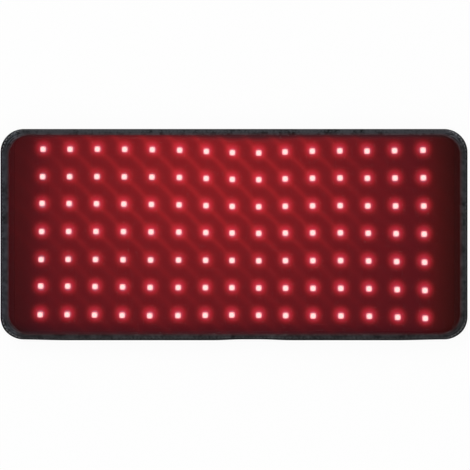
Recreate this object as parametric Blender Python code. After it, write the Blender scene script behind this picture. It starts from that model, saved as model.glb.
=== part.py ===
"""Red light therapy belt: a flexible pad of LED strips under a clear film, bound round its edge.

The pad lies flat with its LEDs up. Its long side runs along X, and Z = 0 is the plane it rests on:
the flat underside of the elastic strap, which is stowed behind the pad.
"""

from math import cos, pi, radians, sin

import bmesh
import bpy
from mathutils import Matrix, Vector

MM = 0.001

# Clearances
GAP = 0.3 * MM  # between neighbouring layers and pieces
OVERRUN = 2.0 * MM  # how far a cutter passes the face that it opens

# Outline of the pad
PAD_LENGTH = 400.0 * MM
PAD_WIDTH = 180.8 * MM
CORNER_RADIUS = 20.0 * MM
CORNER_STEPS = 8

# Edge binding: tape folded over the edge, with a lip on each face
BINDING_TAPE = 0.8 * MM
BINDING_ROUNDING = 2.2 * MM
BINDING_LIP_TOP = 5.0 * MM
BINDING_LIP_BOTTOM = 4.9 * MM
BINDING_LIP_LEFT = 6.6 * MM
BINDING_LIP_RIGHT = 6.0 * MM
BINDING_ROUNDING_STEPS = 4

# Layer thicknesses, from the back to the lit face
COVER_THICKNESS = 1.4 * MM
FOAM_THICKNESS = 4.0 * MM
CARRIER_THICKNESS = 0.6 * MM
STRIP_THICKNESS = 0.3 * MM
LED_HEIGHT = 1.5 * MM
FILM_THICKNESS = 0.4 * MM

# LED field
LED_COLUMNS = 15
LED_ROWS = 7
LED_MARGIN_END = 35.5 * MM  # from the pad's end to the middle of the end column
LED_MARGIN_SIDE = 20.05 * MM  # from the pad's long side to the middle of the outer row
LED_SIDE = 5.0 * MM
LED_CUP_RADIUS = 2.0 * MM
LED_CUP_DEPTH = 0.9 * MM
LED_CUP_FLOOR_RADIUS = 1.6 * MM
LED_CUP_STEPS = 12
FIELD_SHIFT_Y = 1.3 * MM

# Each strip as it was laid by hand, from left to right
STRIP_STRAYS_MM = (0.0, -0.4, -0.5, -0.5, -0.4, -0.1, -0.5, -1.5, -2.2, -2.9, -3.0, -2.8, -2.5, -2.1, -1.6)
STRIP_MIDDLES_MM = (2.5, 2.5, 2.4, 2.2, 1.9, 1.7, 1.3, 0.9, 0.6, 0.9, 1.1, 1.2, 0.9, 0.6, 0.3)
STRIP_TURNS_DEG = (-1.0, -1.0, -1.0, -0.9, -0.9, -0.6, -0.4, -0.2, 0.0, 0.2, 0.3, 0.4, 0.8, 1.1, 0.8)
# Its LEDs' spacing in percent of the even row pitch
LED_SPREADS_PERCENT = (
    100.5, 100.5, 100.8, 100.9, 101.0, 100.6, 99.7, 98.8, 98.8, 99.6, 100.3, 100.5, 100.6, 101.5, 102.5,
)

# LED strip
STRIP_WIDTH = 10.0 * MM
STRIP_END = 7.5 * MM  # past the middle of the last LED

# Spacer frame between the carrier and the film
SPACER_SHOWN_SIDE = 2.0 * MM  # past the binding's lip, along the long sides
SPACER_SHOWN_END = 5.0 * MM
SPACER_CORNER_RADIUS = 9.0 * MM

# Bus ribbons and their solder posts
RIBBON_WIDTH = 6.0 * MM
RIBBON_THICKNESS = 0.3 * MM
RIBBON_TO_HOUSING = 1.9 * MM
RIBBON_MARGIN_LEFT = 28.0 * MM  # from the pad's left-hand end
POST_RADIUS = 0.8 * MM
POST_STEPS = 8
POST_FROM_STRIP_END = 2.5 * MM

# Socket: a barrel jack in the pad's right-hand end
HOUSING_LENGTH = 16.0 * MM
HOUSING_WIDTH = 8.4 * MM
HOUSING_REAR_WALL = 2.0 * MM
HOUSING_FRONT_WALL = 1.5 * MM
HOUSING_EDGE = 0.4 * MM
NOSE_RADIUS = 2.7 * MM
NOSE_SETBACK = 0.1 * MM  # from the binding's outer face
MOUTH_RADIUS = 1.8 * MM
SLEEVE_THICKNESS = 0.3 * MM
PIN_RADIUS = 0.65 * MM
PIN_SETBACK = 2.0 * MM  # from the nose's face
PIN_TIP = 0.4 * MM
TAIL_RADIUS = 0.4 * MM
TAIL_LENGTH = 1.2 * MM  # behind the housing
ROUND_STEPS = 24
HOUSING_FLANGE_THICKNESS = 0.7 * MM
HOUSING_FLANGE_RIM = 2.4 * MM

# Feed wires
WIRE_RADIUS = 0.6 * MM
WIRE_RUN_FROM_END = 2.5 * MM  # middle of the run across the pad, inboard of the ribbons' right-hand end
WIRE_BEND = 2.4 * MM
WIRE_BEND_STEPS = 4
WIRE_POCKET = 7.0 * MM  # room behind the housing for the wires' bends

# Stowed strap, its keepers and hook tabs
STRAP_WIDTH = 50.0 * MM
STRAP_THICKNESS = 1.5 * MM
STRAP_TO_SOCKET = 12.5 * MM  # from the strap's turn to the socket's flange
STRAP_RETURN = 115.0 * MM
STRAP_TURN_STEPS = 8
KEEPER_THICKNESS = 1.2 * MM
KEEPER_WIDTH = 25.0 * MM
KEEPER_FOOT = 10.0 * MM
KEEPER_RISE = 1.6 * MM  # sideways run of the webbing between its foot and its span
HOOK_TAB_LENGTH = 30.0 * MM
HOOK_TAB_MARGIN = 1.5 * MM
HOOK_TAB_CORNER = 3.0 * MM

# Levels, each the height of a piece's underside
STRAP_SLOT = KEEPER_THICKNESS + 2 * GAP  # between the strap's two runs
STRAP_INNER_Z = STRAP_THICKNESS + STRAP_SLOT
COVER_Z = STRAP_INNER_Z + STRAP_THICKNESS + GAP
FOAM_Z = COVER_Z + COVER_THICKNESS + GAP
CARRIER_Z = FOAM_Z + FOAM_THICKNESS + GAP
STRIP_Z = CARRIER_Z + CARRIER_THICKNESS + GAP
LED_TOP_Z = STRIP_Z + STRIP_THICKNESS + LED_HEIGHT
FILM_Z = LED_TOP_Z + GAP
FILM_TOP_Z = FILM_Z + FILM_THICKNESS
BINDING_LOW_Z = COVER_Z - GAP - BINDING_TAPE
BINDING_TOP_Z = FILM_TOP_Z + GAP + BINDING_TAPE
RIBBON_Z = FOAM_Z + FOAM_THICKNESS - RIBBON_THICKNESS
HOUSING_HEIGHT = COVER_THICKNESS + GAP + FOAM_THICKNESS
SOCKET_Z = COVER_Z + HOUSING_HEIGHT / 2

# Places that several pieces share
LAYER_INSET = BINDING_TAPE + GAP  # from the pad's outline to its layers
COLUMN_PITCH = (PAD_LENGTH - 2 * LED_MARGIN_END) / (LED_COLUMNS - 1)
ROW_PITCH = (PAD_WIDTH - 2 * LED_MARGIN_SIDE) / (LED_ROWS - 1)
STRIP_LENGTH = (LED_ROWS - 1) * ROW_PITCH + 2 * STRIP_END
POST_REACH = STRIP_LENGTH / 2 - POST_FROM_STRIP_END
LAYER_END_X = PAD_LENGTH / 2 - LAYER_INSET
HOUSING_REAR_X = LAYER_END_X - HOUSING_LENGTH
RIBBON_LEFT_X = RIBBON_MARGIN_LEFT - PAD_LENGTH / 2
RIBBON_RIGHT_X = HOUSING_REAR_X - RIBBON_TO_HOUSING
WIRE_RUN_X = RIBBON_RIGHT_X - WIRE_RUN_FROM_END
STRAP_REACH = HOUSING_REAR_X - HOUSING_FLANGE_RIM - STRAP_TO_SOCKET
TAIL_END_X = HOUSING_REAR_X - TAIL_LENGTH
SLEEVE_RADIUS = MOUTH_RADIUS + SLEEVE_THICKNESS
TAIL_OFFSET_Y = -(MOUTH_RADIUS + SLEEVE_THICKNESS / 2)


def clear_scene():
    for old in list(bpy.data.objects):
        bpy.data.objects.remove(old)


def material(name, color, roughness, metallic=0.0, alpha=1.0, glow=0.0):
    """A Principled material, glowing in its own colour if glow is above 0."""
    made = bpy.data.materials.new(name)
    made.use_nodes = True
    shader = made.node_tree.nodes["Principled BSDF"]
    shader.inputs["Base Color"].default_value = (*color, 1.0)
    shader.inputs["Roughness"].default_value = roughness
    shader.inputs["Metallic"].default_value = metallic
    shader.inputs["Alpha"].default_value = alpha
    shader.inputs["Emission Color"].default_value = (*color, 1.0)
    shader.inputs["Emission Strength"].default_value = glow
    made.diffuse_color = (*color, alpha)
    return made


def object_from(bm, name, finish):
    """Turns a bmesh into a named object with outward faces."""
    bmesh.ops.recalc_face_normals(bm, faces=bm.faces)
    mesh = bpy.data.meshes.new(name)
    bm.to_mesh(mesh)
    bm.free()
    made = bpy.data.objects.new(name, mesh)
    bpy.context.scene.collection.objects.link(made)
    mesh.materials.append(finish)
    return made


def shade_round(made, sharp_angle=radians(35)):
    made.data.shade_smooth()
    made.data.set_sharp_from_angle(angle=sharp_angle)


def rounded_rectangle(low_x, high_x, low_y, high_y, radius, steps=CORNER_STEPS):
    """Points round a rectangle with arcs at its corners, anticlockwise from the lower right."""
    points = []
    corners = [
        (high_x - radius, low_y + radius, -pi / 2),
        (high_x - radius, high_y - radius, 0.0),
        (low_x + radius, high_y - radius, pi / 2),
        (low_x + radius, low_y + radius, pi),
    ]
    for centre_x, centre_y, start in corners:
        for step in range(steps + 1):
            angle = start + pi / 2 * step / steps
            points.append((centre_x + radius * cos(angle), centre_y + radius * sin(angle)))
    return points


def pad_outline(inset):
    """The pad's outline, drawn in by inset all round."""
    return rounded_rectangle(
        -PAD_LENGTH / 2 + inset,
        PAD_LENGTH / 2 - inset,
        -PAD_WIDTH / 2 + inset,
        PAD_WIDTH / 2 - inset,
        CORNER_RADIUS - inset,
    )


def lip_outline(past_side=0.0, past_end=0.0, radius=None):
    """The edge of the binding's lips, drawn in further by past_side and past_end."""
    return rounded_rectangle(
        -PAD_LENGTH / 2 + BINDING_LIP_LEFT + past_end,
        PAD_LENGTH / 2 - BINDING_LIP_RIGHT - past_end,
        -PAD_WIDTH / 2 + BINDING_LIP_BOTTOM + past_side,
        PAD_WIDTH / 2 - BINDING_LIP_TOP - past_side,
        radius or CORNER_RADIUS - (BINDING_LIP_LEFT + BINDING_LIP_TOP) / 2,
    )


def slab(name, outline, bottom_z, thickness, finish):
    """A flat sheet with the given outline."""
    bm = bmesh.new()
    base = bm.faces.new([bm.verts.new((x, y, bottom_z)) for x, y in outline])
    raised = bmesh.ops.extrude_face_region(bm, geom=[base])
    top = [item for item in raised["geom"] if isinstance(item, bmesh.types.BMVert)]
    bmesh.ops.translate(bm, verts=top, vec=(0, 0, thickness))
    return object_from(bm, name, finish)


def cutter(name, bm):
    """A hidden solid that a Boolean takes away."""
    bmesh.ops.recalc_face_normals(bm, faces=bm.faces)
    mesh = bpy.data.meshes.new(name)
    bm.to_mesh(mesh)
    bm.free()
    made = bpy.data.objects.new(name, mesh)
    bpy.context.scene.collection.objects.link(made)
    made.hide_render = True
    made.display_type = "WIRE"
    return made


def add_box(bm, low, high):
    """Adds a box between two corners."""
    middle = (Vector(low) + Vector(high)) / 2
    size = Vector(high) - Vector(low)
    place = Matrix.Translation(middle) @ Matrix.Diagonal((*size, 1.0))
    bmesh.ops.create_cube(bm, size=1.0, matrix=place)


def add_rod(bm, start, end, radius, steps):
    """Adds a rod from start to end."""
    along = Vector(end) - Vector(start)
    turn = along.to_track_quat("Z", "Y").to_matrix().to_4x4()
    place = Matrix.Translation((Vector(start) + Vector(end)) / 2) @ turn
    bmesh.ops.create_cone(
        bm,
        cap_ends=True,
        segments=steps,
        radius1=radius,
        radius2=radius,
        depth=along.length,
        matrix=place,
    )


def cut(target, tool):
    """Takes the tool away from the target."""
    change = target.modifiers.new(tool.name, "BOOLEAN")
    change.operation = "DIFFERENCE"
    change.object = tool


def unite(target, addition):
    """Makes the addition part of the target."""
    change = target.modifiers.new(addition.name, "BOOLEAN")
    change.operation = "UNION"
    change.object = addition


# The clear film over the LEDs: one flat sheet that ends inside the binding
def window_film():
    finish = material("clear_film", (0.92, 0.92, 0.93), 0.12, alpha=0.25)
    slab("window_film", pad_outline(LAYER_INSET), FILM_Z, FILM_THICKNESS, finish)


# The binding: tape folded round the edge. Each station joins the outer outline to the lips' edge
def binding_profile():
    """Points of the tape's section as (share from the outer outline to the lip's edge, inset, height)."""
    inner_low = BINDING_LOW_Z + BINDING_TAPE
    inner_top = BINDING_TOP_Z - BINDING_TAPE
    low_round = []
    for step in range(BINDING_ROUNDING_STEPS + 1):
        angle = pi / 2 * step / BINDING_ROUNDING_STEPS
        inset = BINDING_ROUNDING * (1 - sin(angle))
        rise = BINDING_ROUNDING * (1 - cos(angle))
        low_round.append((inset, rise))
    points = [(0.0, inset, BINDING_LOW_Z + rise) for inset, rise in low_round]
    points += [(0.0, inset, BINDING_TOP_Z - rise) for inset, rise in low_round[::-1]]
    points.append((1.0, 0.0, BINDING_TOP_Z))
    points.append((1.0, 0.0, inner_top))
    points.append((0.0, BINDING_TAPE, inner_top))
    points.append((0.0, BINDING_TAPE, inner_low))
    points.append((1.0, 0.0, inner_low))
    points.append((1.0, 0.0, BINDING_LOW_Z))
    return points


def edge_binding():
    finish = material("binding_tape", (0.034, 0.03, 0.034), 0.9)
    bm = bmesh.new()
    lip = lip_outline()
    rings = []
    for share, inset, height in binding_profile():
        outline = lip if share else pad_outline(inset)
        rings.append([bm.verts.new((x, y, height)) for x, y in outline])
    for ring, following in zip(rings, rings[1:] + rings[:1]):
        for n in range(len(ring)):
            after = (n + 1) % len(ring)
            bm.faces.new((ring[n], ring[after], following[after], following[n]))
    made = object_from(bm, "edge_binding", finish)
    hole = bmesh.new()
    start = (LAYER_END_X - OVERRUN, 0, SOCKET_Z)
    end = (PAD_LENGTH / 2 + OVERRUN, 0, SOCKET_Z)
    add_rod(hole, start, end, NOSE_RADIUS + GAP, ROUND_STEPS)
    cut(made, cutter("binding_hole", hole))
    shade_round(made)


# The frame that keeps the film off the LEDs: an open border between carrier and film
def spacer_frame():
    finish = material("spacer_foam", (0.05, 0.012, 0.014), 0.9)
    bm = bmesh.new()
    opening = lip_outline(SPACER_SHOWN_SIDE, SPACER_SHOWN_END, SPACER_CORNER_RADIUS)
    outside = pad_outline(LAYER_INSET)
    top_z = STRIP_Z + STRIP_THICKNESS + LED_HEIGHT
    rings = []
    for outline, height in [(outside, STRIP_Z), (outside, top_z), (opening, top_z), (opening, STRIP_Z)]:
        rings.append([bm.verts.new((x, y, height)) for x, y in outline])
    for ring, following in zip(rings, rings[1:] + rings[:1]):
        for n in range(len(ring)):
            after = (n + 1) % len(ring)
            bm.faces.new((ring[n], ring[after], following[after], following[n]))
    object_from(bm, "spacer_frame", finish)


# The LED strips: each is a flexible board across the belt, with its packages in one row
def strip_place(column):
    """Where a column's strip lies, as a matrix: its even place, and how far it strays from that."""
    x = COLUMN_PITCH * (column - (LED_COLUMNS - 1) / 2) + STRIP_STRAYS_MM[column] * MM
    y = STRIP_MIDDLES_MM[column] * MM
    return Matrix.Translation((x, y, STRIP_Z)) @ Matrix.Rotation(radians(STRIP_TURNS_DEG[column]), 4, "Z")


def ring_of(bm, points):
    """Adds a closed loop of edges through points."""
    verts = [bm.verts.new(point) for point in points]
    return [bm.edges.new((verts[n], verts[(n + 1) % len(verts)])) for n in range(len(verts))]


def circle_points(radius, centre_y, height):
    """Points of a circle about (0, centre_y), whose first point lies between two corners of a package."""
    turns = [2 * pi * (n + 0.5) / LED_CUP_STEPS for n in range(LED_CUP_STEPS)]
    return [(radius * cos(turn), centre_y + radius * sin(turn), height) for turn in turns]


def raise_edges(bm, edges, height, narrower=None):
    """Extrudes a loop of edges straight up or down and returns the new loop."""
    raised = bmesh.ops.extrude_edge_only(bm, edges=edges)["geom"]
    verts = [item for item in raised if isinstance(item, bmesh.types.BMVert)]
    bmesh.ops.translate(bm, verts=verts, vec=(0, 0, height))
    if narrower:
        share, centre_y = narrower
        for vert in verts:
            vert.co.x *= share
            vert.co.y = centre_y + (vert.co.y - centre_y) * share
    return [item for item in raised if isinstance(item, bmesh.types.BMEdge)]


def strip_mesh(row_pitch):
    """The board with its underside at Z = 0, its top filled round the packages' feet, which then rise."""
    bm = bmesh.new()
    half_width, half_length, half_led = STRIP_WIDTH / 2, STRIP_LENGTH / 2, LED_SIDE / 2
    corners = [
        (half_width, -half_length),
        (half_width, half_length),
        (-half_width, half_length),
        (-half_width, -half_length),
    ]
    underside = ring_of(bm, [(x, y, 0.0) for x, y in corners])
    bmesh.ops.edgeloop_fill(bm, edges=underside)
    rim = raise_edges(bm, underside, STRIP_THICKNESS)
    feet = []
    centres = [(row - (LED_ROWS - 1) / 2) * row_pitch for row in range(LED_ROWS)]
    for centre_y in centres:
        square = [
            (half_led, centre_y - half_led, STRIP_THICKNESS),
            (half_led, centre_y + half_led, STRIP_THICKNESS),
            (-half_led, centre_y + half_led, STRIP_THICKNESS),
            (-half_led, centre_y - half_led, STRIP_THICKNESS),
        ]
        feet.append(ring_of(bm, square))
    board_edges = rim + [edge for foot in feet for edge in foot]
    bmesh.ops.triangle_fill(bm, use_beauty=True, edges=board_edges)
    for centre_y, foot in zip(centres, feet):
        package = raise_edges(bm, foot, LED_HEIGHT)
        cup = ring_of(bm, circle_points(LED_CUP_RADIUS, centre_y, STRIP_THICKNESS + LED_HEIGHT))
        bmesh.ops.triangle_fill(bm, use_beauty=True, edges=package + cup)
        floor_share = LED_CUP_FLOOR_RADIUS / LED_CUP_RADIUS
        floor = raise_edges(bm, cup, -LED_CUP_DEPTH, (floor_share, centre_y))
        bmesh.ops.edgeloop_fill(bm, edges=floor)
    return bm


def led_strips():
    finish = material("led_strip", (0.9, 0.25, 0.2), 0.5, glow=1.5)
    for column in range(LED_COLUMNS):
        bm = strip_mesh(ROW_PITCH * LED_SPREADS_PERCENT[column] / 100)
        made = object_from(bm, f"led_strip_{column + 1:02d}", finish)
        made.matrix_world = strip_place(column)


# The sheet under the strips, with a hole for every solder post
def post_places(side):
    """Where the solder posts of one ribbon stand. side is 1 for the upper ribbon and -1 for the lower."""
    return [strip_place(column) @ Vector((0, side * POST_REACH, 0)) for column in range(LED_COLUMNS)]


def carrier_sheet():
    finish = material("carrier_fabric", (0.25, 0.012, 0.02), 0.8, glow=0.4)
    made = slab("carrier_sheet", pad_outline(LAYER_INSET), CARRIER_Z, CARRIER_THICKNESS, finish)
    holes = bmesh.new()
    for side in (-1, 1):
        for place in post_places(side):
            start = (place.x, place.y, CARRIER_Z - OVERRUN)
            end = (place.x, place.y, CARRIER_Z + CARRIER_THICKNESS + OVERRUN)
            add_rod(holes, start, end, POST_RADIUS + GAP, POST_STEPS)
    cut(made, cutter("carrier_holes", holes))


# The two ribbons that feed the strips, flush with the foam's top face
def bus_ribbon(name, side):
    finish = material(name + "_copper", (0.75, 0.42, 0.25), 0.4, metallic=1.0)
    middle_y = FIELD_SHIFT_Y + side * POST_REACH
    half = RIBBON_WIDTH / 2
    bm = bmesh.new()
    low = (RIBBON_LEFT_X, middle_y - half, RIBBON_Z)
    high = (RIBBON_RIGHT_X, middle_y + half, CARRIER_Z - GAP)
    add_box(bm, low, high)
    made = object_from(bm, name, finish)
    posts = bmesh.new()
    for place in post_places(side):
        start = (place.x, place.y, RIBBON_Z + RIBBON_THICKNESS / 2)
        end = (place.x, place.y, CARRIER_Z + CARRIER_THICKNESS)
        add_rod(posts, start, end, POST_RADIUS, POST_STEPS)
    unite(made, cutter(name + "_posts", posts))


# The padding, grooved for the ribbons and wires and notched for the socket
def foam_core():
    finish = material("core_foam", (0.06, 0.06, 0.065), 0.95)
    made = slab("foam_core", pad_outline(LAYER_INSET), FOAM_Z, FOAM_THICKNESS, finish)
    top_z = FOAM_Z + FOAM_THICKNESS
    grooves = bmesh.new()
    for side in (-1, 1):
        middle_y = FIELD_SHIFT_Y + side * POST_REACH
        half = RIBBON_WIDTH / 2 + GAP
        low = (RIBBON_LEFT_X - GAP, middle_y - half, RIBBON_Z - GAP)
        high = (RIBBON_RIGHT_X + GAP, middle_y + half, top_z + OVERRUN)
        add_box(grooves, low, high)
    cut(made, cutter("ribbon_grooves", grooves))
    channel = bmesh.new()
    reach = POST_REACH
    half = WIRE_RADIUS + GAP
    low = (WIRE_RUN_X - half, FIELD_SHIFT_Y - reach, top_z - 2 * WIRE_RADIUS - GAP)
    high = (WIRE_RUN_X + half, FIELD_SHIFT_Y + reach, top_z + OVERRUN)
    add_box(channel, low, high)
    cut(made, cutter("wire_channel", channel))
    pocket = bmesh.new()
    low = (HOUSING_REAR_X - WIRE_POCKET, -HOUSING_WIDTH / 2 - GAP, FOAM_Z - OVERRUN)
    high = (PAD_LENGTH / 2, HOUSING_WIDTH / 2 + GAP, top_z + OVERRUN)
    add_box(pocket, low, high)
    cut(made, cutter("socket_pocket", pocket))


# The soft back, notched for the socket's housing
def back_cover():
    finish = material("back_fabric", (0.03, 0.03, 0.033), 0.95)
    made = slab("back_cover", pad_outline(LAYER_INSET), COVER_Z, COVER_THICKNESS, finish)
    notch = bmesh.new()
    low = (HOUSING_REAR_X - GAP, -HOUSING_WIDTH / 2 - GAP, COVER_Z - OVERRUN)
    high = (PAD_LENGTH / 2, HOUSING_WIDTH / 2 + GAP, COVER_Z + COVER_THICKNESS + OVERRUN)
    add_box(notch, low, high)
    cut(made, cutter("socket_notch", notch))


def add_socket_rod(bm, start_x, end_x, radius, steps=ROUND_STEPS, y=0.0):
    """Adds a rod along the socket's axis, or beside it at y."""
    add_rod(bm, (start_x, y, SOCKET_Z), (end_x, y, SOCKET_Z), radius, steps)


# The socket's housing: a moulded block with a round nose through the binding
def inlet_housing():
    finish = material("socket_plastic", (0.02, 0.02, 0.022), 0.45)
    bm = bmesh.new()
    half = HOUSING_WIDTH / 2
    low = (HOUSING_REAR_X, -half, COVER_Z)
    high = (LAYER_END_X, half, COVER_Z + HOUSING_HEIGHT)
    add_box(bm, low, high)
    long_edges = [edge for edge in bm.edges if edge.verts[0].co.x != edge.verts[1].co.x]
    bmesh.ops.bevel(
        bm,
        geom=long_edges,
        offset=HOUSING_EDGE,
        segments=2,
        affect="EDGES",
    )
    made = object_from(bm, "inlet_housing", finish)
    flange = bmesh.new()
    flange_end = PAD_LENGTH / 2 - BINDING_LIP_RIGHT - GAP
    flange_half = half + HOUSING_FLANGE_RIM
    flange_top = COVER_Z - GAP
    low = (HOUSING_REAR_X - HOUSING_FLANGE_RIM, -flange_half, flange_top - HOUSING_FLANGE_THICKNESS)
    high = (flange_end, flange_half, flange_top)
    add_box(flange, low, high)
    neck_low = (HOUSING_REAR_X, -half + HOUSING_EDGE, flange_top - HOUSING_FLANGE_THICKNESS / 2)
    neck_high = (flange_end, half - HOUSING_EDGE, COVER_Z + HOUSING_EDGE)
    neck = bmesh.new()
    add_box(neck, neck_low, neck_high)
    nose = bmesh.new()
    nose_face_x = PAD_LENGTH / 2 - NOSE_SETBACK
    add_socket_rod(nose, LAYER_END_X - HOUSING_FRONT_WALL / 2, nose_face_x, NOSE_RADIUS)
    for name, added in [("housing_flange", flange), ("housing_neck", neck), ("housing_nose", nose)]:
        unite(made, cutter(name, added))
    bore_rear_x = HOUSING_REAR_X + HOUSING_REAR_WALL
    bore_front_x = LAYER_END_X - HOUSING_FRONT_WALL
    chamber = bmesh.new()
    add_socket_rod(chamber, bore_rear_x, bore_front_x, SLEEVE_RADIUS + GAP)
    cut(made, cutter("sleeve_chamber", chamber))
    mouth = bmesh.new()
    mouth_start = bore_front_x - HOUSING_FRONT_WALL / 2
    add_socket_rod(mouth, mouth_start, nose_face_x + OVERRUN, MOUTH_RADIUS)
    cut(made, cutter("socket_mouth", mouth))
    for name, y, radius in [("pin_hole", 0, PIN_RADIUS), ("tail_hole", TAIL_OFFSET_Y, TAIL_RADIUS)]:
        hole = bmesh.new()
        hole_end = bore_rear_x + HOUSING_REAR_WALL / 2
        add_socket_rod(hole, HOUSING_REAR_X - OVERRUN, hole_end, radius + GAP / 2, POST_STEPS, y)
        cut(made, cutter(name, hole))


# The socket's outer contact: a spring sleeve with a solder tail through the housing's rear wall
def inlet_sleeve():
    finish = material("contact_metal", (0.8, 0.79, 0.75), 0.3, metallic=1.0)
    rear_x = HOUSING_REAR_X + HOUSING_REAR_WALL + GAP
    front_x = LAYER_END_X - HOUSING_FRONT_WALL - GAP
    bm = bmesh.new()
    add_socket_rod(bm, rear_x, front_x, SLEEVE_RADIUS)
    made = object_from(bm, "inlet_sleeve", finish)
    tail = bmesh.new()
    add_socket_rod(tail, TAIL_END_X, rear_x + TAIL_LENGTH, TAIL_RADIUS, POST_STEPS, TAIL_OFFSET_Y)
    unite(made, cutter("sleeve_tail", tail))
    bore = bmesh.new()
    add_socket_rod(bore, rear_x - GAP / 2, front_x + OVERRUN, MOUTH_RADIUS)
    cut(made, cutter("sleeve_bore", bore))


# The socket's centre pin, with a blunt tip
def inlet_pin():
    finish = material("pin_metal", (0.85, 0.78, 0.55), 0.25, metallic=1.0)
    tip_x = PAD_LENGTH / 2 - NOSE_SETBACK - PIN_SETBACK
    bm = bmesh.new()
    turns = [2 * pi * n / POST_STEPS for n in range(POST_STEPS)]
    rings = [(TAIL_END_X, PIN_RADIUS), (tip_x - PIN_TIP, PIN_RADIUS), (tip_x, PIN_RADIUS - PIN_TIP)]
    loops = []
    for x, radius in rings:
        loops.append([bm.verts.new((x, radius * cos(t), SOCKET_Z + radius * sin(t))) for t in turns])
    for loop, following in zip(loops, loops[1:]):
        for n in range(POST_STEPS):
            after = (n + 1) % POST_STEPS
            bm.faces.new((loop[n], loop[after], following[after], following[n]))
    bm.faces.new(loops[0])
    bm.faces.new(loops[-1])
    object_from(bm, "inlet_pin", finish)


# The feed wires: each leaves the socket's rear, bends aside and up, and runs across the pad to its ribbon
def wire_route(start_y, side):
    """Points from the tail to the ribbon's edge: a quarter bend that also climbs, then a straight run."""
    run_z = FOAM_Z + FOAM_THICKNESS - WIRE_RADIUS
    start_x = TAIL_END_X - GAP
    bend_x = WIRE_RUN_X + WIRE_BEND
    points = [(start_x, start_y, SOCKET_Z)]
    for step in range(WIRE_BEND_STEPS + 1):
        share = step / WIRE_BEND_STEPS
        angle = pi / 2 * share
        x = bend_x - WIRE_BEND * sin(angle)
        y = start_y + side * WIRE_BEND * (1 - cos(angle))
        z = SOCKET_Z + (run_z - SOCKET_Z) * share * share * (3 - 2 * share)
        points.append((x, y, z))
    ribbon_edge_y = FIELD_SHIFT_Y + side * (POST_REACH - RIBBON_WIDTH / 2 - GAP)
    points.append((WIRE_RUN_X, ribbon_edge_y, run_z))
    return points


def feed_wire(name, start_y, side, color):
    finish = material(name + "_jacket", color, 0.5)
    curve = bpy.data.curves.new(name, "CURVE")
    curve.dimensions = "3D"
    curve.bevel_depth = WIRE_RADIUS
    curve.bevel_resolution = 2
    curve.use_fill_caps = True
    route = wire_route(start_y, side)
    spline = curve.splines.new("POLY")
    spline.points.add(len(route) - 1)
    for point, place in zip(spline.points, route):
        point.co = (*place, 1.0)
    made = bpy.data.objects.new(name, curve)
    bpy.context.scene.collection.objects.link(made)
    curve.materials.append(finish)


# The elastic strap: one ribbon that lies along the back and turns back on itself round each keeper
def strap_path():
    """The ribbon's middle line in the XZ plane, with its direction at each point."""
    turn_radius = (STRAP_THICKNESS + STRAP_SLOT) / 2
    turn_x = STRAP_REACH - turn_radius - STRAP_THICKNESS / 2
    low_z = STRAP_THICKNESS / 2
    middle_z = low_z + turn_radius
    path = [(-(STRAP_REACH - STRAP_RETURN), low_z, (-1.0, 0.0))]
    for side in (-1, 1):
        for step in range(STRAP_TURN_STEPS + 1):
            angle = -side * pi / 2 + side * pi * step / STRAP_TURN_STEPS
            if side < 0:
                x, z = -turn_x - turn_radius * cos(angle), middle_z - turn_radius * sin(angle)
                heading = (-sin(angle), cos(angle))
            else:
                x, z = turn_x + turn_radius * cos(angle), middle_z - turn_radius * sin(angle)
                heading = (-sin(angle), -cos(angle))
            path.append((x, z, heading))
    path.append((STRAP_REACH - STRAP_RETURN, low_z, (-1.0, 0.0)))
    return path


def elastic_strap():
    finish = material("strap_elastic", (0.025, 0.025, 0.028), 0.9)
    half = STRAP_THICKNESS / 2
    path = strap_path()
    left = [(x - half * heading[1], z + half * heading[0]) for x, z, heading in path]
    right = [(x + half * heading[1], z - half * heading[0]) for x, z, heading in path]
    section = left + right[::-1]
    bm = bmesh.new()
    base = bm.faces.new([bm.verts.new((x, -STRAP_WIDTH / 2, z)) for x, z in section])
    raised = bmesh.ops.extrude_face_region(bm, geom=[base])
    moved = [item for item in raised["geom"] if isinstance(item, bmesh.types.BMVert)]
    bmesh.ops.translate(bm, verts=moved, vec=(0, STRAP_WIDTH, 0))
    bmesh.ops.triangulate(bm, faces=[face for face in bm.faces if len(face.verts) > 4])
    made = object_from(bm, "elastic_strap", finish)
    shade_round(made)


# The keepers: webbing loops sewn to the back by their feet, which the strap passes under
def strap_keeper(name, side):
    finish = material(name + "_webbing", (0.028, 0.028, 0.03), 0.85)
    foot_top = COVER_Z - GAP
    foot_low = foot_top - KEEPER_THICKNESS
    span_top = STRAP_INNER_Z - GAP
    span_low = span_top - KEEPER_THICKNESS
    inner_y = STRAP_WIDTH / 2 + GAP
    rise_y = inner_y + KEEPER_RISE
    foot_y = rise_y + KEEPER_THICKNESS + KEEPER_FOOT
    half_section = [
        (inner_y, span_top),
        (rise_y, foot_top),
        (foot_y, foot_top),
        (foot_y, foot_low),
        (rise_y + KEEPER_THICKNESS, foot_low),
        (inner_y + KEEPER_THICKNESS, span_low),
    ]
    section = half_section + [(-y, z) for y, z in half_section[::-1]]
    outer_x = STRAP_REACH - STRAP_THICKNESS - STRAP_SLOT / 2
    near_x, far_x = sorted((side * outer_x, side * (outer_x - KEEPER_WIDTH)))
    bm = bmesh.new()
    base = bm.faces.new([bm.verts.new((near_x, y, z)) for y, z in section])
    raised = bmesh.ops.extrude_face_region(bm, geom=[base])
    moved = [item for item in raised["geom"] if isinstance(item, bmesh.types.BMVert)]
    bmesh.ops.translate(bm, verts=moved, vec=(far_x - near_x, 0, 0))
    bmesh.ops.triangulate(bm, faces=[face for face in bm.faces if len(face.verts) > 4])
    object_from(bm, name, finish)


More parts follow.
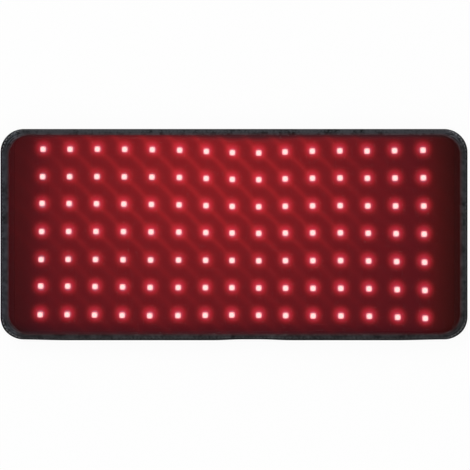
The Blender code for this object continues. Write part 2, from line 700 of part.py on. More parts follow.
# The hook tabs: hook tape sewn inside the strap's turned-back ends
def hook_tab(name, side):
    finish = material(name + "_hooks", (0.015, 0.015, 0.017), 0.7)
    tab_x = STRAP_REACH - STRAP_RETURN + HOOK_TAB_MARGIN
    near_x, far_x = sorted((side * tab_x, side * (tab_x + HOOK_TAB_LENGTH)))
    half = STRAP_WIDTH / 2 - HOOK_TAB_MARGIN
    outline = rounded_rectangle(near_x, far_x, -half, half, HOOK_TAB_CORNER, STRAP_TURN_STEPS // 2)
    slab(name, outline, STRAP_THICKNESS + GAP, STRAP_SLOT - 2 * GAP, finish)


clear_scene()
window_film()
edge_binding()
spacer_frame()
led_strips()
carrier_sheet()
bus_ribbon("bus_ribbon_positive", 1)
bus_ribbon("bus_ribbon_negative", -1)
foam_core()
back_cover()
inlet_housing()
inlet_sleeve()
inlet_pin()
feed_wire("feed_wire_positive", 0.0, 1, (0.5, 0.02, 0.02))
feed_wire("feed_wire_negative", TAIL_OFFSET_Y, -1, (0.02, 0.02, 0.02))
elastic_strap()
strap_keeper("strap_keeper_left", -1)
strap_keeper("strap_keeper_right", 1)
hook_tab("hook_tab_left", -1)
hook_tab("hook_tab_right", 1)
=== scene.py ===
import math
from collections import namedtuple

import bmesh
import bpy
import numpy as np
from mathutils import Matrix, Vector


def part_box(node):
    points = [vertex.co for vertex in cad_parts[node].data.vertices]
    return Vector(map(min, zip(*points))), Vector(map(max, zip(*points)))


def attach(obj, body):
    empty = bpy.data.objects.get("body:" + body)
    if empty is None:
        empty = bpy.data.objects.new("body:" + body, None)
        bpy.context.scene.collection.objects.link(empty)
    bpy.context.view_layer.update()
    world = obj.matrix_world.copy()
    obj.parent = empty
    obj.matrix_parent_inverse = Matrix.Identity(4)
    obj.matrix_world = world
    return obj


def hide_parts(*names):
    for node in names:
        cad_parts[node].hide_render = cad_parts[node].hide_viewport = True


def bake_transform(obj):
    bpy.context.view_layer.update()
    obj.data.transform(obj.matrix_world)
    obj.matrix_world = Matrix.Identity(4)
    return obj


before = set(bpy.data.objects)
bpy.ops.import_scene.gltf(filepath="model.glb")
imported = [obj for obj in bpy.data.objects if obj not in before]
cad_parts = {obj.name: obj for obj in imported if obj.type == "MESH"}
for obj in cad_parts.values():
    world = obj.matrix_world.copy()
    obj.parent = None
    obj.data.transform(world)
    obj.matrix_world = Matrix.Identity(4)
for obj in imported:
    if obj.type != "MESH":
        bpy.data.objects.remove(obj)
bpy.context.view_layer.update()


# The studio: a pale table under soft white light, seen straight from above.
# The belt lies on its back with the lit face up, so that it is met square on.
MM = 0.001
CAMERA_HEIGHT = 1.51
LENS, SENSOR = 133.87, 36.0
VIEW_CENTRE = (0.89 * MM, -0.41 * MM)
ROOM_LIGHT = 0.55
TABLE_REACH, TABLE_DROP = 9.0, 0.1 * MM
TABLE_WHITE_SHARE = 0.94


def placed(name, data):
    """A new object with this data, in the scene."""
    made = bpy.data.objects.new(name, data)
    bpy.context.scene.collection.objects.link(made)
    return made


camera = placed("camera", bpy.data.cameras.new("camera"))
camera.location = (*VIEW_CENTRE, CAMERA_HEIGHT)
camera.data.lens, camera.data.sensor_width = LENS, SENSOR
bpy.context.scene.camera = camera
bpy.context.scene.view_settings.view_transform = "Standard"


def node(tree, kind, inputs=(), **settings):
    """Adds one shader node: settings are its own values, inputs its sockets' values or what feeds them."""
    made = tree.nodes.new("ShaderNode" + kind)
    for key, value in settings.items():
        setattr(made, key, value)
    for key, value in dict(inputs).items():
        value = getattr(value, "socket", value)
        if isinstance(value, bpy.types.NodeSocket):
            tree.links.new(value, made.inputs[key])
        else:
            made.inputs[key].default_value = value
    return made


def finish(name, colour, roughness, **sockets):
    """A finish with its uniform values on the shader's own sockets. Returns it with its tree and shader."""
    made = bpy.data.materials.new(name)
    made.use_nodes = True
    shader = made.node_tree.nodes["Principled BSDF"]
    shader.inputs["Base Color"].default_value = (*colour, 1)
    shader.inputs["Roughness"].default_value = roughness
    for key, value in sockets.items():
        shader.inputs[key.replace("_", " ")].default_value = value
    return made, made.node_tree, shader


def seen_directly(tree):
    """1 where the eye, a mirror image or clear plastic shows the surface, 0 where it only lights things."""
    path = node(tree, "LightPath")
    rays = {0: path.outputs["Is Camera Ray"], 1: path.outputs["Is Glossy Ray"]}
    shown = node(tree, "Math", rays, operation="MAXIMUM")
    return node(tree, "Math", {0: shown.outputs[0], 1: path.outputs["Is Transmission Ray"]},
                operation="MAXIMUM").outputs[0]


def soft_lamp(name, place, size, watts):
    """A square lamp that faces the middle of the table."""
    lamp = placed(name, bpy.data.lights.new(name, "AREA"))
    lamp.data.size, lamp.data.energy = size, watts
    tilt = math.acos(place[2] / math.dist(place, (0, 0, 0)))
    lamp.location = place
    lamp.rotation_euler = (tilt, 0, math.atan2(place[1], place[0]) + math.pi / 2)


soft_lamp("lamp_key", place=(-0.9, 1.1, 1.7), size=1.4, watts=17)
soft_lamp("lamp_fill", place=(1.2, -0.9, 1.6), size=1.6, watts=8)

world = bpy.data.worlds.new("studio")
bpy.context.scene.world = world
world.use_nodes = True
sky = world.node_tree.nodes["Background"]
level = node(world.node_tree, "MapRange", {0: seen_directly(world.node_tree), 3: ROOM_LIGHT, 4: 1.0})
world.node_tree.links.new(level.outputs[0], sky.inputs["Strength"])
sky.inputs["Color"].default_value = (1, 1, 1, 1)

table_mesh = bpy.data.meshes.new("table_top")
corners = [(x * TABLE_REACH, y * TABLE_REACH, -TABLE_DROP) for x, y in ((-1, -1), (1, -1), (1, 1), (-1, 1))]
table_mesh.from_pydata(corners, [], [(0, 1, 2, 3)])
table = placed("table_top", table_mesh)
pale, tree, surface = finish("pale_table", (0.93, 0.93, 0.93), 1.0, Specular_IOR_Level=0.0)
white = node(tree, "Emission", {"Color": (1, 1, 1, 1), "Strength": 1.0})
white_share = node(tree, "Math", {0: seen_directly(tree), 1: TABLE_WHITE_SHARE}, operation="MULTIPLY")
mixed = node(tree, "MixShader", {0: white_share.outputs[0], 1: surface.outputs[0], 2: white.outputs[0]})
tree.links.new(mixed.outputs[0], tree.nodes["Material Output"].inputs["Surface"])
table_mesh.materials.append(pale)


# Back cover: loop-pile cloth on thin neoprene, cut to the pad's outline.
# Its edge is held in the binding, and the strap's keepers are sewn to it.
PAD_HALF, PAD_CORNER = np.array([200.0, 90.4]) * MM, 20 * MM
LAYER_CORNER = PAD_CORNER - 1.1 * MM
COVER_EDGE = 0.4 * MM
STATION, CORNER_STEPS = 2.35 * MM, 14
SHARP_ANGLE = math.radians(50)
# Each length of a layer: its ends, the two bodies that it bends between, and the middle of the bend
SPLIT = 70.5 * MM
INNER_FOLD, OUTER_FOLD, BEND_REACH = 35.25 * MM, 105.75 * MM, 13 * MM
Length = namedtuple("Length", "name start end body_a body_b fold_x")
LENGTHS = [
    Length("left_end", None, -SPLIT, "left_inner", "left_outer", -OUTER_FOLD),
    Length("left", -SPLIT, 0.0, "centre", "left_inner", -INNER_FOLD),
    Length("right", 0.0, SPLIT, "centre", "right_inner", INNER_FOLD),
    Length("right_end", SPLIT, None, "right_inner", "right_outer", OUTER_FOLD),
]
# The LED field: strips laid by hand, each a little off its even place, with its own turn and spacing
STRIP_COUNT, LED_ROWS = 15, 7
PITCH, ROW_PITCH = 23.5 * MM, 23.45 * MM
STRAYS_MM = (0.0, -0.4, -0.5, -0.5, -0.4, -0.1, -0.5, -1.5, -2.2, -2.9, -3.0, -2.8, -2.5, -2.1, -1.6)
MIDDLES_MM = (2.5, 2.5, 2.4, 2.2, 1.9, 1.7, 1.3, 0.9, 0.6, 0.9, 1.1, 1.2, 0.9, 0.6, 0.3)
TURNS_DEG = (-1.0, -1.0, -1.0, -0.9, -0.9, -0.6, -0.4, -0.2, 0.0, 0.2, 0.3, 0.4, 0.8, 1.1, 0.8)
SPREADS_PERCENT = (
    100.5, 100.5, 100.8, 100.9, 101.0, 100.6, 99.7, 98.8, 98.8, 99.6, 100.3, 100.5, 100.6, 101.5, 102.5,
)
columns = np.arange(STRIP_COUNT) - STRIP_COUNT // 2
strip_x = PITCH * columns + np.array(STRAYS_MM) * MM
strip_y = np.array(MIDDLES_MM) * MM
strip_turn = np.radians(TURNS_DEG)
led_pitch = ROW_PITCH / 100 * np.array(SPREADS_PERCENT)


class Figure:
    """A number that a finish works out at each point, as a chain of shader nodes."""

    def __init__(self, tree, socket):
        self.tree, self.socket = tree, socket

    def step(self, operation, *others):
        inputs = {0: self.socket, **{k + 1: other for k, other in enumerate(others)}}
        return Figure(self.tree, node(self.tree, "Math", inputs, operation=operation).outputs[0])

    def __add__(self, other):
        return self.step("ADD", other)

    def __sub__(self, other):
        return self.step("SUBTRACT", other)

    def __mul__(self, other):
        return self.step("MULTIPLY", other)

    def eased(self, start, end, low, high):
        """From low at start to high at end, eased at both, as the figure grows."""
        inputs = {0: self.socket, 1: start, 2: end, 3: low, 4: high}
        made = node(self.tree, "MapRange", inputs, interpolation_type="SMOOTHSTEP")
        return Figure(self.tree, made.outputs[0])

    def ribs(self, pitch):
        """A sine from 0 to 1 and back, once every pitch metres."""
        return (self * (2 * math.pi / pitch)).step("SINE") * 0.5 + 0.5


def lofted(loops, cloth=None):
    """Closed loops of points carried from row to row, with both ends filled by quads across the loop.

    loops is (rows, count, 3) or, for many like shapes, (shapes, rows, count, 3). cloth holds flat
    coordinates (rows, count + 1, 2), and is all zero where it is left out. Returns the points, the
    quads, and each quad corner's cloth place.
    """
    loops = np.asarray(loops, float)
    if loops.ndim == 3:
        loops = loops[None]
    shapes, rows, count = loops.shape[:3]
    if cloth is None:
        cloth = np.zeros((rows, count + 1, 2))
    i, j = np.meshgrid(np.arange(rows - 1), np.arange(count), indexing="ij")
    k = (j + 1) % count
    wall = np.stack([i * count + j, i * count + k, (i + 1) * count + k, (i + 1) * count + j], -1)
    wall_cloth = np.stack([cloth[i, j], cloth[i, j + 1], cloth[i + 1, j + 1], cloth[i + 1, j]], -2)
    a = np.arange(count // 2 - 1)
    cap = np.stack([a, a + 1, count - 2 - a, count - 1 - a], -1)
    last = cap[:, ::-1] + (rows - 1) * count
    flat = cloth[:, :count].reshape(-1, 2)
    quads = np.concatenate([wall.reshape(-1, 4), cap, last])
    places = np.concatenate([wall_cloth.reshape(-1, 4, 2), flat[cap], flat[last]])
    shift = np.arange(shapes)[:, None, None] * rows * count
    return loops.reshape(-1, 3), (quads + shift).reshape(-1, 4), np.tile(places, (shapes, 1, 1))


def flat_lofted(x, y, z):
    """Lofts the loops with these coordinates, and their own x and y as the cloth's."""
    points = np.stack(np.broadcast_arrays(x, y, z), -1)
    return lofted(points, np.concatenate([points, points[:, :1]], 1)[..., :2])


def flat_loop(half_width, half_height, edge, steps, shares=()):
    """A flat loop with rounded edges, which runs along the underside and back along the top.

    Returns how far across and how high each point lies. shares, from -1 to 1, place the points between
    the edges, and steps is the number of points round each edge.
    """
    turn = np.linspace(0, math.pi / 2, steps)
    side = half_width - edge * (1 - np.cos(turn))
    drop = -(half_height - edge) - edge * np.sin(turn)
    wide = np.concatenate([-side, np.asarray(shares) * (half_width - edge), side[..., ::-1]], -1)
    lift = np.concatenate([drop, np.full(len(shares), -half_height), drop[::-1]])
    return np.concatenate([wide, wide[..., ::-1]], -1), np.concatenate([lift, -lift[::-1]])


def led_grid(points):
    """Column -7 to 7 and row -3 to 3, whole at each LED, and the distance in from the pad's outline.

    The first two are worked out between the strips' own places, carried on past the end strips. The
    distance is that to a rounded rectangle: the corner's radius less the length past the straight sides.
    """
    x, y = points[:, 0], points[:, 1]
    known_x = np.concatenate([strip_x[:1] - PITCH * 2, strip_x, strip_x[-1:] + PITCH * 2])
    known = np.concatenate([columns[:1] - 2, columns, columns[-1:] + 2])
    lean = np.interp(x, strip_x, np.sin(strip_turn)) * (y - np.interp(x, strip_x, strip_y))
    column = np.interp(x + lean, known_x, known)
    row = (y - np.interp(column, columns, strip_y)) / np.interp(column, columns, led_pitch)
    past = np.abs(points[:, :2]) - PAD_HALF + PAD_CORNER
    inward = PAD_CORNER - np.hypot(*np.maximum(past, 0).T) - np.minimum(past.max(1), 0)
    return np.stack([column, row, inward], 1)


def piece(name, patches, finishes, face_finish=None):
    """Joins lofted patches into one smooth mesh.

    It keeps its rest place, its place in the LED field and its cloth map.
    """
    points = np.concatenate([p[0] for p in patches])
    starts = np.cumsum([0] + [len(p[0]) for p in patches])
    quads = np.concatenate([p[1] + s for p, s in zip(patches, starts)])
    cloth = np.concatenate([p[2] for p in patches])
    mesh = bpy.data.meshes.new(name)
    mesh.vertices.add(len(points))
    mesh.vertices.foreach_set("co", points.ravel())
    mesh.loops.add(quads.size)
    mesh.loops.foreach_set("vertex_index", quads.ravel().astype(np.int32))
    mesh.polygons.add(len(quads))
    mesh.polygons.foreach_set("loop_start", np.arange(0, quads.size, 4, dtype=np.int32))
    mesh.uv_layers.new(name="cloth").uv.foreach_set("vector", cloth.ravel())
    for key, values in (("rest", points), ("led_grid", led_grid(points))):
        mesh.attributes.new(key, "FLOAT_VECTOR", "POINT").data.foreach_set("vector", values.ravel())
    for finish_used in finishes:
        mesh.materials.append(finish_used)
    mesh.update(calc_edges=True)
    mesh.validate()
    if face_finish is not None:
        mesh.polygons.foreach_set("material_index", np.asarray(face_finish, np.int32))
    bm = bmesh.new()
    bm.from_mesh(mesh)
    bmesh.ops.recalc_face_normals(bm, faces=bm.faces)
    bm.to_mesh(mesh)
    bm.free()
    mesh.polygons.foreach_set("use_smooth", np.ones(len(mesh.polygons), bool))
    mesh.set_sharp_from_angle(angle=SHARP_ANGLE)
    return placed(name, mesh)


def even(start, end):
    """Places from start to end, evenly spaced and no more than one station apart."""
    return np.linspace(start, end, max(2, math.ceil(abs(end - start) / STATION) + 1))


def stations(start, end, reach):
    """Places along x from start to end; None is the pad's end, where they crowd together round the corner."""
    if start is None:
        return -stations(-end, None, reach)[::-1]
    if end is not None:
        return even(start, end)
    turn = np.linspace(0, math.pi / 2, CORNER_STEPS + 1)[1:]
    return np.concatenate([even(start, reach - LAYER_CORNER), reach - LAYER_CORNER * (1 - np.sin(turn))])


def plate(node_name, length, edge, across=40, wave=None):
    """A layer's length: at each x a thin loop whose half width follows the rounded corner.

    wave(x, y) lifts both faces.
    """
    low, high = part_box(node_name)
    x = stations(length.start, length.end, high.x)[:, None]
    into = np.clip(np.abs(x) - (high.x - LAYER_CORNER), 0, LAYER_CORNER)
    width = high.y - LAYER_CORNER + np.sqrt(LAYER_CORNER ** 2 - into ** 2)
    thick = (high.z - low.z) / 2
    shares = np.linspace(-1, 1, across + 1)[1:-1]
    y, z = flat_loop(width, thick, min(edge, thick), steps=4, shares=shares)
    z = z + (low.z + high.z) / 2
    if wave:
        z = z + wave(x, y)
    return flat_lofted(x, y, z)


def bent(made, node_name):
    """The piece stands for its plain layer, which is hidden, and its place is baked into its points."""
    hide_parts(node_name)
    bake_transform(made)


def rest_place(tree):
    """Where the point lies before the pad bends."""
    return node(tree, "Attribute", attribute_name="rest").outputs["Vector"]


def noise(tree, place, size, detail=2.0, roughness=0.5):
    """Cloudy variation from 0 to 1 whose patches are about size metres across."""
    inputs = {"Vector": place, "Scale": 1 / size, "Detail": detail, "Roughness": roughness}
    return Figure(tree, node(tree, "TexNoise", inputs).outputs["Fac"])


def cells(tree, place, size, feature="F1"):
    """Distance to the middle of the nearest of many cells about size metres across."""
    made = node(tree, "TexVoronoi", {"Vector": place, "Scale": 1 / size}, feature=feature)
    return Figure(tree, made.outputs["Distance"])


def dye(tree, shader, figure, dark, light, socket="Base Color"):
    """Colours the surface from dark to light as the figure goes from 0 to 1."""
    mix = node(tree, "Mix", {0: figure, 6: (*dark, 1), 7: (*light, 1)}, data_type="RGBA")
    tree.links.new(mix.outputs[2], shader.inputs[socket])


def bump(tree, shader, height, depth):
    """Raises the surface by the figure, depth metres for 1."""
    raised = node(tree, "Bump", {"Height": height, "Distance": depth, "Strength": 1.0})
    tree.links.new(raised.outputs[0], shader.inputs["Normal"])


def cut_sheets(name, node_name, slot, cloth, edge, held="laid", **shape):
    """A thin layer in its four lengths. held, laid on the padding or stretched, is not used.
    """
    for length in LENGTHS:
        made = piece(f"{name}_{length.name}", [plate(node_name, length, edge, **shape)], [cloth])
        bent(made, node_name)


back_cloth, tree, shader = finish("loop_pile_cloth", (0.02, 0.02, 0.022), 0.95, Sheen_Weight=0.35,
                                  Sheen_Roughness=0.5)
place = rest_place(tree)
tuft = cells(tree, place, 0.9 * MM, "SMOOTH_F1")
cloud = noise(tree, place, 9 * MM, 4)
dye(tree, shader, tuft * 0.7 + cloud * 0.5, (0.012, 0.012, 0.013), (0.045, 0.045, 0.05))
bump(tree, shader, tuft * -1.0 + cloud * 0.4, 0.35 * MM)

cut_sheets("back_cloth", "back_cover", "back_fabric", back_cloth, COVER_EDGE)


# Padding: one slab of soft open-cell foam, with grooves in its top for the conductors.
# It lies loose between the back cover and the sheet with the LEDs, held by the binding round it.
FOAM_EDGE, FOAM_FILL = 0.8 * MM, 0.8
core_foam, tree, shader = finish("open_cell_foam", (0.1, 0.1, 0.105), 0.9)
place = rest_place(tree)
bubbles = cells(tree, place, 0.8 * MM)
dye(tree, shader, bubbles + noise(tree, place, 12 * MM) * 0.4, (0.05, 0.05, 0.053), (0.15, 0.15, 0.155))
bump(tree, shader, bubbles, 0.3 * MM)

for length in LENGTHS:
    made = piece("padding_" + length.name, [plate("foam_core", length, FOAM_EDGE)], [core_foam])
    bent(made, "foam_core")


# Conductors: two bare copper ribbons along the long edges, laid in the foam's grooves.
# A solder post rises from each ribbon to every LED strip.
RIBBON_THICKNESS, RIBBON_EDGE = 0.3 * MM, 0.1 * MM
POST_RADIUS, POST_EDGE, POST_REACH = 0.8 * MM, 0.2 * MM, 75.35 * MM
copper, tree, shader = finish("bare_copper", (0.75, 0.36, 0.22), 0.35, Metallic=1.0)
streaky = node(tree, "Mapping", {"Vector": rest_place(tree), "Scale": (40, 2500, 2500)})
drawn = noise(tree, streaky.outputs[0], 1.0, 3)
dye(tree, shader, drawn, (0.55, 0.25, 0.15), (0.86, 0.46, 0.3))
bump(tree, shader, drawn, 0.02 * MM)


def rod(x, y, z_low, z_high, radius, edge, steps=12):
    """Upright round rods at each (x, y): rings of one radius, drawn in by edge at both ends."""
    turn = np.arange(steps) * 2 * math.pi / steps
    reach = np.array([radius - edge, radius, radius, radius - edge])
    z = np.array([z_low, z_low + edge, z_high - edge, z_high])
    ring = np.stack([np.cos(turn), np.sin(turn)], -1)
    rows = np.concatenate([reach[:, None, None] * ring, z[:, None, None] + 0 * ring[None, :, :1]], -1)
    return lofted(rows[None] + np.stack([x, y, 0 * x], -1)[:, None, None])


def bar(x_start, x_end, y_low, y_high, z_low, z_high, edge):
    """A flat bar along x: one loop, its four edges rounded, carried along."""
    y, z = flat_loop((y_high - y_low) / 2, (z_high - z_low) / 2, edge, steps=3)
    return flat_lofted(even(x_start, x_end)[:, None], y + (y_low + y_high) / 2, z + (z_low + z_high) / 2)


for side, name in ((1, "positive"), (-1, "negative")):
    low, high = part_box("bus_ribbon_" + name)
    post_x = strip_x - side * POST_REACH * np.sin(strip_turn)
    post_y = strip_y + side * POST_REACH * np.cos(strip_turn)
    for length in LENGTHS:
        start = low.x if length.start is None else length.start
        end = high.x if length.end is None else length.end
        here = (post_x >= start) & (post_x < end)
        ribbon = bar(start, end, low.y, high.y, low.z, low.z + RIBBON_THICKNESS, RIBBON_EDGE)
        posts = rod(post_x[here], post_y[here], low.z + RIBBON_THICKNESS / 2, high.z, POST_RADIUS, POST_EDGE)
        made = piece(f"conductor_{name}_{length.name}", [ribbon, posts], [copper])
        bent(made, "bus_ribbon_" + name)


# Socket and feed wires: a black moulded socket for a round low-voltage plug, with a sprung metal
# sleeve round a plated pin, and two thin wires from its tails to the conductors.
def object_place(tree):
    """The point's place in its own piece, for rigid pieces."""
    return node(tree, "TexCoord").outputs["Object"]


socket_black, tree, shader = finish("moulded_black_plastic", (0.02, 0.02, 0.021), 0.42)
place = object_place(tree)
dye(tree, shader, noise(tree, place, 4 * MM), (0.016, 0.016, 0.017), (0.03, 0.03, 0.032))
bump(tree, shader, noise(tree, place, 0.35 * MM, 3), 0.03 * MM)
plated, tree, shader = finish("nickel_plating", (0.72, 0.7, 0.66), 0.28, Metallic=1.0)
dye(tree, shader, noise(tree, object_place(tree), 1.5 * MM, 4), (0.6, 0.58, 0.54), (0.82, 0.8, 0.77))
pin_brass, tree, shader = finish("plated_brass", (0.8, 0.66, 0.38), 0.25, Metallic=1.0)
dye(tree, shader, noise(tree, object_place(tree), 1 * MM, 4), (0.7, 0.55, 0.28), (0.88, 0.76, 0.5))


def wire_jacket(name, dark, light):
    """Soft jacket of a thin wire, a little mottled and dusty."""
    made, tree, shader = finish(name, light, 0.5)
    place = object_place(tree)
    dye(tree, shader, noise(tree, place, 2 * MM, 3), dark, light)
    bump(tree, shader, noise(tree, place, 0.3 * MM), 0.02 * MM)
    return made


for node_name, made in {
    "inlet_housing": socket_black,
    "inlet_sleeve": plated,
    "inlet_pin": pin_brass,
    "feed_wire_positive": wire_jacket("red_jacket", (0.3, 0.02, 0.02), (0.5, 0.04, 0.04)),
    "feed_wire_negative": wire_jacket("black_jacket", (0.012, 0.012, 0.012), (0.03, 0.03, 0.03)),
}.items():
    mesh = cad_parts[node_name].data
    mesh.materials.clear()
    mesh.materials.append(made)


# LED sheet: coated cloth that the strips are stuck to. It glows red from the LEDs, most near the
# top of the middle, less towards the ends, with faint slanting streaks from LED to LED. This glow is
# painted as emission. With it come painted shadow of the binding's lip along the top, and a painted
# grey sheen where the film meets the top and bottom lips.
SHEET_EDGE = 0.2 * MM
FILM_LOSS = 0.985
HALO_PEAK, HALO_SPREAD, HALO_RAISE = 0.377, 6.45 * MM / PITCH, 0.036
HALO_TO_RIGHT, HALO_TO_TOP = 0.05, -0.045
WEAK_LOSS = 0.26
SPARKLE_PEAK, SPARKLE_SPREAD = 0.75, 1.9 * MM / PITCH
STREAK_PEAK, STREAK_BOW, STREAK_SHARPNESS = 0.48, 0.062, 2.2
BROAD_PEAK, BROAD_POWER = 0.86, -1.514
# Weights in that power of u, v, uu, vv, uv, uuuu, vvv and uuv
BROAD_SHARES = (-0.156, 0.345, -0.624, -0.135, -0.051, 0.044, -0.066, -0.174)
MOTTLE_SHARE = 0.16
HALO_BLUE, MIDDLE_BLUE = 0.13, 0.0032
# Painted grey sheen on the film by the top and bottom lips, and its share in blue
LIP_SHEEN_TOP, LIP_SHEEN_BOTTOM, LIP_SHEEN_BLUE_SHARE = 0.008, 0.006, 1.1
GLOW_TINT, DARK_TINT, SPARKLE_TINT = (1.0, 0.0372, 0.04), (0.0, 0.003, 0.0022), (0.15, 0.9, 1.17)


def parts(tree, vector):
    """The three numbers of a place."""
    split = node(tree, "SeparateXYZ", {0: vector})
    return [Figure(tree, split.outputs[axis]) for axis in "XYZ"]


def field_place(tree):
    """Column, row and distance in from the outline, as led_grid gives them."""
    return parts(tree, node(tree, "Attribute", attribute_name="led_grid").outputs["Vector"])


def panel_glow(tree):
    """Strength of the red glow, of the LEDs' sparkle, of blue and of a painted grey sheen by the lips, from
    the place in the LED field.

    Broad part: e to the power of a smooth polynomial in column and row, falling off past the last
    LEDs, and darker along the top row as painted shadow of the binding's lip. Streaks: a wave along
    lines on which column plus row is whole. Halo: a bell round each LED, weaker in the left part of
    one row and in the left and middle part of another.
    """
    column, row, _ = field_place(tree)

    def off_nearest(figure, last):
        whole = figure.step("ROUND").step("MAXIMUM", -last).step("MINIMUM", last)
        return figure - whole

    def falls(figure, start, end, least):
        return figure.eased(start, end, 1.0, least)

    off_column, off_row = off_nearest(column, 7.0), off_nearest(row, 3.0)
    raised = off_row - HALO_RAISE
    halo_near = off_column * off_column + raised * raised
    halo = ((halo_near * (1 / HALO_SPREAD ** 2)).step("POWER", 1.5) * -1.0).step("EXPONENT") * HALO_PEAK
    near = off_column * off_column + off_row * off_row
    sparkle = (near * (-1 / SPARKLE_SPREAD ** 2)).step("EXPONENT") * SPARKLE_PEAK
    u, v = column * (1 / 7), row * (1 / 3)
    uu, vv = u * u, v * v
    whole_column, whole_row = column - off_column, row - off_row
    weak = (whole_row.step("COMPARE", 2.0, 0.5) * whole_column.step("LESS_THAN", -2.5)
            + whole_row.step("COMPARE", -1.0, 0.5) * whole_column.step("LESS_THAN", 2.5))
    halo = halo * (weak * -WEAK_LOSS + (u * HALO_TO_RIGHT + v * HALO_TO_TOP + 1.0))
    power = u * BROAD_SHARES[0] + BROAD_POWER
    for term, share in zip((v, uu, vv, u * v, uu * uu, vv * v, uu * v), BROAD_SHARES[1:]):
        power = power + term * share
    # The glow falls off past the last LEDs. Its fall along the top row is painted shadow of the binding's lip
    edges = (falls(column, 7.0, 8.2, 0.45) * falls(column * -1.0, 6.4, 7.9, 0.52)
             * falls(row * -1.0, 3.1, 3.68, 0.55) * falls(row, 3.38, 3.62, 0.3))
    rise = (column * (2 * math.pi)).step("COSINE") + (row * (2 * math.pi)).step("COSINE")
    bowed = (column + row) * (2 * math.pi) + (rise - 2.0) * (0.5 * math.pi * STREAK_BOW)
    streak = ((bowed.step("COSINE") - 1.0) * STREAK_SHARPNESS).step("EXPONENT")
    lively = falls(u, 0.5, 0.85, 0.2) * falls(u * -1.0, 0.78, 1.0, 0.3) * falls(v * -1.0, 0.05, 0.5, 0.55)
    mottle = noise(tree, rest_place(tree), 7 * MM, 3) * MOTTLE_SHARE + (1.0 - MOTTLE_SHARE / 2)
    broad = power.step("EXPONENT") * BROAD_PEAK * edges
    glow = broad * (streak * lively * STREAK_PEAK + 1.0) * mottle + halo
    # Painted grey sheen where the film meets the binding's top and bottom lips
    lip_sheen = row.eased(3.3, 3.62, 0.0, LIP_SHEEN_TOP) + (row * -1.0).eased(3.5, 3.7, 0.0, LIP_SHEEN_BOTTOM)
    middle = falls(column, 6.6, 7.9, 0.0) * falls(column * -1.0, 7.0, 7.8, 0.5)
    blue = halo * halo * HALO_BLUE + middle * MIDDLE_BLUE
    return glow * (1 / FILM_LOSS), sparkle * (1 / FILM_LOSS), blue, lip_sheen


def lit_red(name, share=1.0, grain=0.35 * MM, depth=0.05 * MM):
    """A dark red coated surface that gives off the panel's glow."""
    made, tree, shader = finish(name, (0.01, 0.002, 0.003), 0.7, Specular_IOR_Level=0.0,
                                Emission_Strength=1.0)
    glow, sparkle, blue, lip_sheen = panel_glow(tree)
    glow = glow * share
    red, green, violet = (glow * tint + (sparkle * near + dark)
                          for tint, near, dark in zip(GLOW_TINT, SPARKLE_TINT, DARK_TINT))
    colour = node(tree, "CombineColor", {0: red, 1: green + lip_sheen, 2: violet + blue + lip_sheen * LIP_SHEEN_BLUE_SHARE})
    tree.links.new(colour.outputs[0], shader.inputs["Emission Color"])
    texture = noise(tree, rest_place(tree), grain, 3)
    dye(tree, shader, texture, (0.003, 0.0008, 0.0012), (0.008, 0.002, 0.003))
    bump(tree, shader, texture, depth)
    return made


cut_sheets("led_sheet", "carrier_sheet", "carrier_fabric", lit_red("coated_cloth_lit"), SHEET_EDGE)


# LED strips: fifteen thin flexible boards across the pad, each with seven square moulded packages.
# Each package is a white plastic frame with a round cup, filled with clear resin that shines white.
board_red = lit_red("strip_board_lit")
package_white, tree, shader = finish("led_frame_lit", (0.3, 0.06, 0.07), 0.4, Emission_Strength=1.0)
dye(tree, shader, noise(tree, rest_place(tree), 1.2 * MM), (0.7, 0.22, 0.24), (0.88, 0.31, 0.34),
    "Emission Color")
resin_white, tree, shader = finish("led_resin_lit", (0.2, 0.15, 0.14), 0.15, Emission_Strength=1.0)
dye(tree, shader, noise(tree, rest_place(tree), 0.8 * MM), (1.08, 0.58, 0.55), (1.22, 0.7, 0.67),
    "Emission Color")

BOARD_WIDTH, BOARD_LENGTH, BOARD_THICKNESS, BOARD_EDGE = 10 * MM, 155.7 * MM, 0.3 * MM, 0.1 * MM
BOARD_Z = 12.0 * MM
BOARD_TOP = BOARD_Z + BOARD_THICKNESS
# Rings of a package from its foot over its rim to the resin: half size, squareness, height above the board
PACKAGE_RINGS = np.array([
    (2.38, 1.0, -0.02), (2.46, 1.0, 0.12), (2.46, 1.0, 1.28), (2.42, 1.0, 1.42), (2.32, 1.0, 1.50),
    (2.10, 0.5, 1.50), (2.02, 0.0, 1.45), (1.90, 0.0, 1.05), (1.80, 0.0, 0.85), (1.20, 0.0, 0.92),
    (0.50, 0.0, 0.96),
]) * (MM, 1, MM)
SQUARE_POWER = 1.7
RIM_ROW, PACKAGE_STEPS = 6, 24
# How far each row of packages, from the lowest, lies off its even place: at the middle strip, its
# slope and its bow
ROW_STRAYS = np.array([
    (-0.30, 0.21, 0.07), (-0.06, -0.35, 0.26), (0.04, 0.15, -0.25), (0.45, 0.02, -0.38),
    (0.03, -0.28, 0.37), (0.02, 0.17, 0.05), (-0.27, -0.01, 0.11),
]) * MM
# What all packages of a strip share: a place beside the board's middle and a size, both changing to the right
PACKAGE_SHIFT, PACKAGE_DRIFT, PACKAGE_GROWTH_SHARE = -0.12 * MM, 0.11 * MM, 0.02


